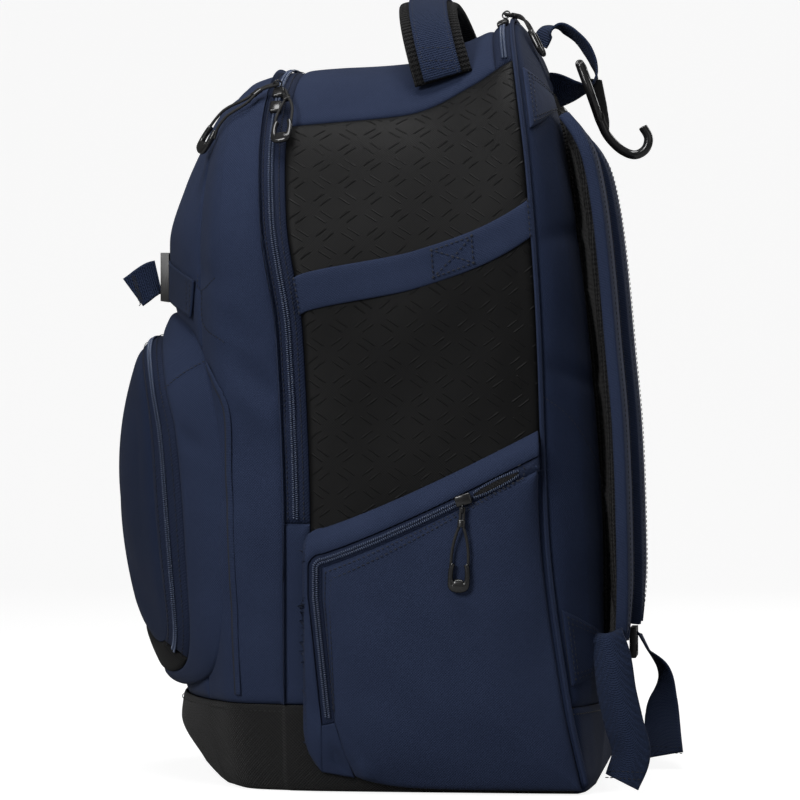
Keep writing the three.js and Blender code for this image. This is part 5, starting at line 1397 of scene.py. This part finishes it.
for suffix, side in (("right", 1), ("left", -1)):
    centres, widths, thicknesses = strap_rows(side)
    core = swept(f"strap_core_{suffix}", centres, ACROSS_BACK, widths - 0.003, thicknesses - 0.0028,
                 spacer_mesh, corners=28, squareness=(0.4, 0.7))
    pad = swollen(f"shoulder_pad_{suffix}", core, 4.0, 0.0016)
    boxed_uv(pad)
    pad.data.materials.clear()
    pad.data.materials.append(spacer_mesh)
    pad.data.materials.append(navy_cloth)
    middles = read_all(pad.data.polygons, "center", 3)
    centre_depth = np.interp(middles[:, 2], centres[::-1, 2], centres[::-1, 1])
    outside = (middles[:, 1] > centre_depth + 0.003).astype(np.int32)
    pad.data.polygons.foreach_set("material_index", outside)
    placed(pad, "fabric_dark", f"shoulder_strap_{suffix}")
    edge_lines = []
    for edge in (-1, 1):
        line = centres + ACROSS_BACK * edge * ((widths / 2 - 0.0012)[:, None]) + (0, 0.0018, 0)
        placed(swept(f"strap_binding_{suffix}_{'inner' if edge * side < 0 else 'outer'}", line[2:-1],
                     BACKWARDS, 0.0082, 0.0042, navy_cloth, corners=14, squareness=(0.7, 0.9)), "fabric_dark")
        line = centres + ACROSS_BACK * edge * ((widths / 2 - 0.0075)[:, None])
        line = line + BACKWARDS * (thicknesses / 2 * 0.93)[:, None]
        edge_lines.append(stitch_line(line[6:-6], np.repeat(BACKWARDS[None], len(line) - 12, 0), 0.0006))
    stitches(f"strap_stitches_{suffix}", edge_lines, "fabric_dark")

# Ladder locks: moulded black frames that hang at the straps' lower ends


def eased(node, name, bevel, material):
    """The moulded piece of a solid, with its edges rounded as they come out of a mould"""
    source = bpy.data.objects[node] if node in bpy.data.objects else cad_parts[node]
    piece = linked(name, source.data.copy())
    work = bmesh.new()
    work.from_mesh(piece.data)
    bmesh.ops.remove_doubles(work, verts=work.verts, dist=1e-6)
    bmesh.ops.dissolve_limit(work, angle_limit=0.02, verts=work.verts, edges=work.edges)
    bmesh.ops.recalc_face_normals(work, faces=work.faces)
    work.to_mesh(piece.data)
    work.free()
    round_edges = piece.modifiers.new("eased", "BEVEL")
    round_edges.width, round_edges.segments, round_edges.limit_method = bevel, 3, "ANGLE"
    piece.data.materials.clear()
    piece.data.materials.append(material)
    made = baked(piece)
    piece.modifiers.clear()
    piece.data = made
    made.shade_smooth()
    if made.materials and made.materials[0] != material:
        made.materials.clear()
        made.materials.append(material)
    return placed(piece, "plastic_black", node)


for suffix in ("right", "left"):
    eased(f"ladder_lock_{suffix}", f"ladder_frame_{suffix}", 0.0009, moulded_black)

# Adjuster webbing: from the anchor tabs through the ladder locks, with free tails that hang to the floor.
# Places are shares of half the width, the depth and the height, and the turn of the webbing about the
# upright.
TAIL_ROUTES = {
    "right": ((0.74, 0.478, 0.176, 0.2), (0.81, 0.478, 0.198, 0.9), (0.86, 0.485, 0.196, 1.3),
              (0.885, 0.5, 0.17, 1.45), (0.89, 0.51, 0.13, 1.5), (0.885, 0.525, 0.09, 1.5),
              (0.87, 0.54, 0.05, 1.35), (0.85, 0.52, 0.014, 1.1)),
    "left": ((-0.7, 0.522, 0.172, 0), (-0.69, 0.54, 0.152, 0.1), (-0.6, 0.572, 0.12, 0.5),
             (-0.45, 0.578, 0.08, 0.9), (-0.28, 0.585, 0.045, 1.2), (-0.16, 0.592, 0.02, 1.3)),
}
for suffix, route in TAIL_ROUTES.items():
    table = np.array(route)
    knots = table[:, :3] * (HALF_WIDTH, PACK_DEPTH, PACK_HEIGHT)
    centres = smooth_path(knots, 150)
    turns = np.interp(np.linspace(0, 1, 150), np.linspace(0, 1, len(table)), table[:, 3])
    wides = np.stack([np.cos(turns), np.sin(turns), np.zeros(150)], -1)
    tail = ribbon(f"adjuster_webbing_{suffix}", centres, wides, WEBBING_WIDTH, 0.0014, seed=70)
    placed(tail, "webbing_navy", f"strap_tail_{suffix}")
    facing = unit(np.cross(tangents(centres), wides))
    stitches(f"tail_stitches_{suffix}",
             [stitches_across(centres[row], wides[row], face * facing[row], 0.0006) for row in (-4, -10)
              for face in (1, -1)], "webbing_navy")

# Front strap: navy webbing across the front under a buckle, its free end hanging out of the buckle in a
# sewn hem
FRONT_STRAP = {"side": 0.622, "middle": 0.658, "reach": 0.95, "stand": 0.0016}
strap_across = np.linspace(1, -1, 161) * FRONT_STRAP["reach"]
strap_height = PACK_HEIGHT * (FRONT_STRAP["middle"] + (FRONT_STRAP["side"] - FRONT_STRAP["middle"])
                              * strap_across**2)
strap_edge = skin(np.zeros(161), 1 - along_at(np.zeros(161), strap_height))[:, 0]
strap_depth = front_depth_at(strap_edge * strap_across, strap_height)
strap_depth = strap_depth - WEBBING_THICKNESS / 2 - FRONT_STRAP["stand"]
strap_line = np.stack([strap_edge * strap_across, strap_depth, strap_height], -1)
upright = np.repeat(np.array([[0, 0, 1.0]]), 161, 0)
placed(ribbon("front_strap_webbing", strap_line, upright, WEBBING_WIDTH, WEBBING_THICKNESS, seed=80),
       "webbing_navy", "front_strap")
stitches("front_strap_stitches",
         [stitches_across(strap_line[row], upright[0], FORWARDS, 0.001) for row in (2, 6, -7, -3)],
         "webbing_navy")
eased("front_buckle", "front_buckle_plate", 0.0012, moulded_black)
buckle_low, buckle_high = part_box("front_buckle")
buckle_face, buckle_middle = buckle_low[1], (buckle_low[2] + buckle_high[2]) / 2
END_ROWS = ((0.014, 0.0022, 0), (0.016, 0.0055, 0.001), (0.018, 0.010, 0.004), (0.019, 0.015, 0.008),
            (0.020, 0.019, 0.011))
END_TILT = 0.3
end_line = smooth_path([(x, buckle_face - out, buckle_middle - drop) for x, out, drop in END_ROWS], 40)
end_wide = unit(np.stack([np.zeros(40), -END_TILT * np.linspace(0, 1, 40), np.ones(40)], -1))
strap_end = ribbon("front_strap_tail", end_line, end_wide, WEBBING_WIDTH * 0.92, WEBBING_THICKNESS, seed=81)
placed(strap_end, "webbing_navy", "front_strap_end")
end_facing = unit(np.cross(tangents(end_line), end_wide))
rise = np.linspace(-0.45, 0.45, 44)
sway = np.where(np.arange(44) % 2 == 0, 0.0022, 0.0052)
line = end_line[-1] - tangents(end_line)[-1] * sway[:, None]
line = line + end_wide[-1] * rise[:, None] * WEBBING_WIDTH * 0.9
zigzag = [stitch_line(line, np.repeat(face * end_facing[-1][None], 44, 0), WEBBING_THICKNESS / 2)
          for face in (1, -1)]
stitches("front_tail_stitches", zigzag, "webbing_navy", size=(0.002, 0.0006, 0.0005), pitch=0.0022)

# Fence hook: glossy black plastic, a slotted head with a web behind it and a round rod bent into a J. The
# rod's points are distances from the top of the head, in shares of the hook's length.
HOOK_X, HOOK_LENGTH, HOOK_ROD = 0.018, 0.078, 0.0064
HOOK_TOP = np.array([HOOK_X, 0.411 * PACK_DEPTH, 0.937 * PACK_HEIGHT])
HOOK_ROWS = ((0, 0), (0.04, -0.14), (0.105, -0.29), (0.165, -0.48), (0.24, -0.63), (0.37, -0.757),
             (0.485, -0.795), (0.573, -0.745), (0.6, -0.645), (0.548, -0.544))
NECK_ROW = 3
HEAD_HALF = WEBBING_WIDTH / 2 + 0.00305
hook_path = np.array([HOOK_TOP + (0, out * HOOK_LENGTH, down * HOOK_LENGTH) for out, down in HOOK_ROWS])


def rod(name, points, count):
    path = smooth_path(points, count) if len(points) > 2 else np.linspace(*points, count)
    wide = ACROSS_BACK if abs(points[0][0] - points[-1][0]) < 0.02 else np.array([0, 0, 1.0])
    return swept(name, path, wide, HOOK_ROD, HOOK_ROD, moulded_black, corners=20, squareness=(1, 1))


def joined_mesh(name, pieces):
    """One mesh from several pieces, which it takes the place of"""
    joined = bmesh.new()
    for piece in pieces:
        joined.from_mesh(piece.data)
        bpy.data.objects.remove(piece)
    mesh = bpy.data.meshes.new(name)
    joined.to_mesh(mesh)
    joined.free()
    return mesh


def fused_smooth(name, pieces, voxel, smoothing):
    """Moulds several forms into one with softened joints"""
    body = linked(name, joined_mesh(name, pieces))
    remesh = body.modifiers.new("moulded", "REMESH")
    remesh.mode, remesh.voxel_size = "VOXEL", voxel
    relax = body.modifiers.new("softened", "SMOOTH")
    relax.factor, relax.iterations = 0.5, smoothing
    made = baked(body)
    body.modifiers.clear()
    body.data = made
    made.shade_smooth()
    return body


glossy_black = plain_material("glossy black plastic", (0.012, 0.012, 0.0125), 0.2, specular=0.6, grain=1200.0,
                              bump=0.00002)
hook_forms = [rod("hook_rod", hook_path[NECK_ROW:], 90)]
for side in (1, -1):
    shift = np.array([side * HEAD_HALF, 0, 0])
    hook_forms.append(rod(f"hook_rail_{side}", [hook_path[0] + shift, hook_path[2] + shift,
                                                hook_path[NECK_ROW]], 40))
hook_forms.append(rod("hook_bar", [hook_path[0] + (HEAD_HALF, 0, 0), hook_path[0] - (HEAD_HALF, 0, 0)], 30))
WEB_OUTLINE = ((0.1310, 0.4835), (0.1428, 0.4822), (0.1462, 0.4650), (0.1480, 0.4530), (0.1478, 0.4440),
               (0.1440, 0.4480))
web_shape = bmesh.new()
for x in (-0.0013, 0.0013):
    web_shape.faces.new([web_shape.verts.new((HOOK_X + x, y, z)) for y, z in WEB_OUTLINE])
bmesh.ops.bridge_loops(web_shape, edges=web_shape.edges)
bmesh.ops.recalc_face_normals(web_shape, faces=web_shape.faces)
web_mesh = bpy.data.meshes.new("hook_web")
web_shape.to_mesh(web_mesh)
web_shape.free()
hook_forms.append(linked("hook_web", web_mesh))
hook = fused_smooth("fence_hook_moulding", hook_forms, 0.0006, 4)
hook.data.materials.clear()
hook.data.materials.append(glossy_black)
placed(hook, "plastic_black", "fence_hook")

# Hook loop: ribbed webbing sewn in at the top seam, through the hook's head and back down to the yoke
LOOP_TABLE = ((0.3185, 0.9645, 0.6), (0.338, 0.984, 0.6), (0.36, 0.988, 0.45), (0.385, 0.982, 0.3),
              (0.413, 0.967, 0.3), (0.436, 0.944, 0.2), (0.445, 0.922, 0), (0.435, 0.911, 0),
              (0.405, 0.907, 0.3), (0.345, 0.905, 0.8))
loop_table = np.array(LOOP_TABLE)
loop_knots = np.insert(loop_table[:, :2] * (PACK_DEPTH, PACK_HEIGHT), 0, HOOK_X, axis=1)
loop_line = smooth_path(loop_knots, 120)
loop_share = np.linspace(0, 1, 120)
loop_turns = np.interp(loop_share, np.linspace(0, 1, 10), loop_table[:, 2])
root_turn = np.clip((loop_share - 0.74) / 0.26, 0, 1) * 1.25
loop_wide = np.stack([np.cos(loop_turns) * np.cos(root_turn), np.sin(loop_turns) * np.cos(root_turn),
                      np.sin(root_turn)], -1)
LOOP_WIDTH = WEBBING_WIDTH - 0.001
loop = ribbon("hook_webbing", loop_line, loop_wide, LOOP_WIDTH, 0.0014, seed=90)
placed(loop, "webbing_navy", "hook_loop")

# Zip sliders: small cast bodies, painted black, with a wire ring each. Their pulls are doubled black cords
# held by a sleeve, which end in moulded grips in the form of an open loop.
SLIDER_THICKNESS, CORD_RADIUS = 0.004, 0.0010
SLIDER_LIFT = SLIDER_THICKNESS / 2 + 0.0008
GRIP = {"length": 0.021, "width": 0.0145, "thickness": 0.004, "bar": 0.0034, "foot": 0.0092}
black_cord = plain_material("black cord", (0.008, 0.008, 0.0085), 0.75, grain=2500.0, bump=0.0002)
for node in ("front_slider_1", "front_slider_2", "top_slider_1", "top_slider_2", "side_slider_right",
             "side_slider_left", "pocket_slider"):
    eased(node, f"{node}_body", 0.0013, glossy_black)


def cord_pull(name, node, points, normal):
    """A doubled cord from a slider's ring to its grip, lying along the given points"""
    path = smooth_path(points, 160)
    run, forward = lengths_along(path, 0), tangents(path)
    cord_length = run[-1] - GRIP["length"]
    share = run / cord_length
    held = share <= 1 + 0.45 * GRIP["length"] / cord_length
    across = unit(np.cross(forward, np.broadcast_to(normal, path.shape)))
    opened = np.clip((share - 0.34) / 0.66, 0, 1)
    spread = CORD_RADIUS * 1.05 + (GRIP["width"] / 2 - GRIP["bar"] / 2 - CORD_RADIUS) * opened * (2 - opened)
    pieces = []
    for leg in (1, -1):
        line = (path + across * leg * spread[:, None])[held]
        pieces.append((swept(f"{name}_cord", line, across[held], 2 * CORD_RADIUS, 2 * CORD_RADIUS, black_cord,
                             corners=10, squareness=(1, 1)), 0))
    sleeve = (share > 0.24) & (share < 0.38)
    pieces.append((swept(f"{name}_sleeve", path[sleeve], across[sleeve], 5.2 * CORD_RADIUS, 3.2 * CORD_RADIUS,
                         glossy_black, corners=14, squareness=(0.7, 0.7)), 1))
    start = np.argmax(share > 1)
    ahead, side = forward[start], across[start]
    middle = path[start] + ahead * GRIP["length"] / 2
    half_long, half_wide = GRIP["length"] / 2, GRIP["width"] / 2 - GRIP["bar"] / 2
    turn = np.linspace(-0.78 * math.pi, 0.78 * math.pi, 61)
    foot = np.clip(np.cos(turn), 0, 1) ** 1.5
    bars = GRIP["bar"] + (GRIP["foot"] - GRIP["bar"]) * foot
    long = half_long * signed_power(np.cos(turn), 0.8) - bars / 2 * foot
    wide = half_wide * (1 - 0.3 * foot) * signed_power(np.sin(turn), 0.55)
    loop_path = middle + ahead * long[:, None] + side * wide[:, None]
    out = unit(ahead * np.cos(turn)[:, None] + side * np.sin(turn)[:, None])
    pieces.append((swept(f"{name}_grip", loop_path, out, bars, GRIP["thickness"], glossy_black, corners=12,
                         squareness=(0.8, 0.8)), 1))
    ring_turn = np.linspace(0, 2 * math.pi, 33)[:, None]
    ring_up = unit(np.cross(across[0], forward[0]))
    ring = np.cos(ring_turn) * forward[0] + np.sin(ring_turn) * ring_up
    ring = path[0] + forward[0] * 0.001 + 0.0028 * ring
    pieces.append((swept(f"{name}_ring", ring, across[0], 0.0011, 0.0011, glossy_black, corners=8,
                         squareness=(1, 1)), 1))
    for piece, finish in pieces:
        piece.data.polygons.foreach_set("material_index", np.full(len(piece.data.polygons), finish, np.int32))
    mesh = joined_mesh(name, [piece for piece, finish in pieces])
    mesh.shade_smooth()
    mesh.materials.append(black_cord)
    mesh.materials.append(glossy_black)
    return placed(linked(name, mesh), "plastic_black", node)


def spot(seam, height, lift=0.0):
    """A place off the right side and the way the skin faces there; height is a share and lift in mm"""
    return on_skin(np.array(float(seam)), np.array(height * PACK_HEIGHT), 1, lift * 0.001)


forward_pull = ((2.5, 0.894, 6.7), (1.8, 0.889, 6.6), (1.4, 0.872, 6), (0.9, 0.858, 6), (0.5, 0.838, 6),
                (0.3, 0.81, 6))
cord_pull("front_pull_forward", "front_pull_1", [spot(*row)[0] for row in forward_pull], spot(1.2, 0.86)[1])
backward_pull = ((2.75, 0.885, 6.5), (2.95, 0.873, 6.5), (3.03, 0.86, 6.5), (3.02, 0.845, 6.5),
                 (2.98, 0.83, 6.5), (2.95, 0.815, 6.5))
cord_pull("front_pull_backward", "front_pull_2", [spot(*row)[0] for row in backward_pull], spot(3, 0.85)[1])
top_rows = ((5.85, 0.06, 6.5), (6.2, 0.075, 6.2), (6.5, 0.085, 5.6), (6.8, 0.092, 5.2), (7.1, 0.096, 5))
cord_pull("top_pull_cord", "top_pull",
          [skin(seam, arc) + skin_normal(seam, arc) * lift * 0.001 for seam, arc, lift in top_rows],
          skin_normal(6.4, 0.08))
SIDE_SLIDER_SHARE = 0.83
SIDE_DROPS = (0.005, 0.018, 0.032, 0.046, 0.060)
pull_depth, pull_height = bent_line(np.array(SIDE_SLIDER_SHARE), ZIP_FRONT_INSET + SIDE_ZIP_WIDTH / 2,
                                    ZIP_INSET + SIDE_ZIP_WIDTH / 2, 0.046)
side_reach = (ZIP_LIFT + FACE_LIFT) / 2 + SLIDER_LIFT
for suffix, side in (("right", 1), ("left", -1)):
    rows = []
    for i, drop in enumerate(SIDE_DROPS):
        seam = seam_at(pull_depth - 0.05 * drop, pull_height - drop)
        rows.append(on_skin(seam, pull_height - drop, side, side_reach + (0.0015 if i == 0 else 0.0034))[0])
    cord_pull(f"side_pull_cord_{suffix}", f"side_pull_{suffix}", rows,
              on_skin(seam_at(pull_depth, pull_height), pull_height, side)[1])
POCKET_SLIDER_TURN = 10.5 / 32
POCKET_PULL_LIFT = 0.0084
POCKET_DROPS = (0, 0.012, 0.026, 0.040, 0.054)
pull_top = (pocket_ring("zip outer", np.array([POCKET_SLIDER_TURN]))[0]
            + pocket_ring("zip inner", np.array([POCKET_SLIDER_TURN]))[0]) / 2
pull_top = pull_top + np.array([0, -0.7, 0.7]) * POCKET_PULL_LIFT
lid_zip_depth = -0.571 * PACK_DEPTH
rows = [pull_top]
for drop in POCKET_DROPS[1:]:
    height = pull_top[2] - 0.004 - drop
    up_share = (height - LID_MIDDLE) / (0.57 * PACK_HEIGHT - LID_MIDDLE)
    share = min(1, math.hypot(up_share, abs(pull_top[0]) / (0.72 * POCKET_HALF) * 0.8))
    depth = lid_zip_depth + (LID_DEPTH - lid_zip_depth) * (1 - share**LID_POWER) - 0.004
    rows.append(np.array([pull_top[0], depth, height]))
cord_pull("pocket_pull_cord", "pocket_pull", rows, np.array([0, -1.0, 0.2]))
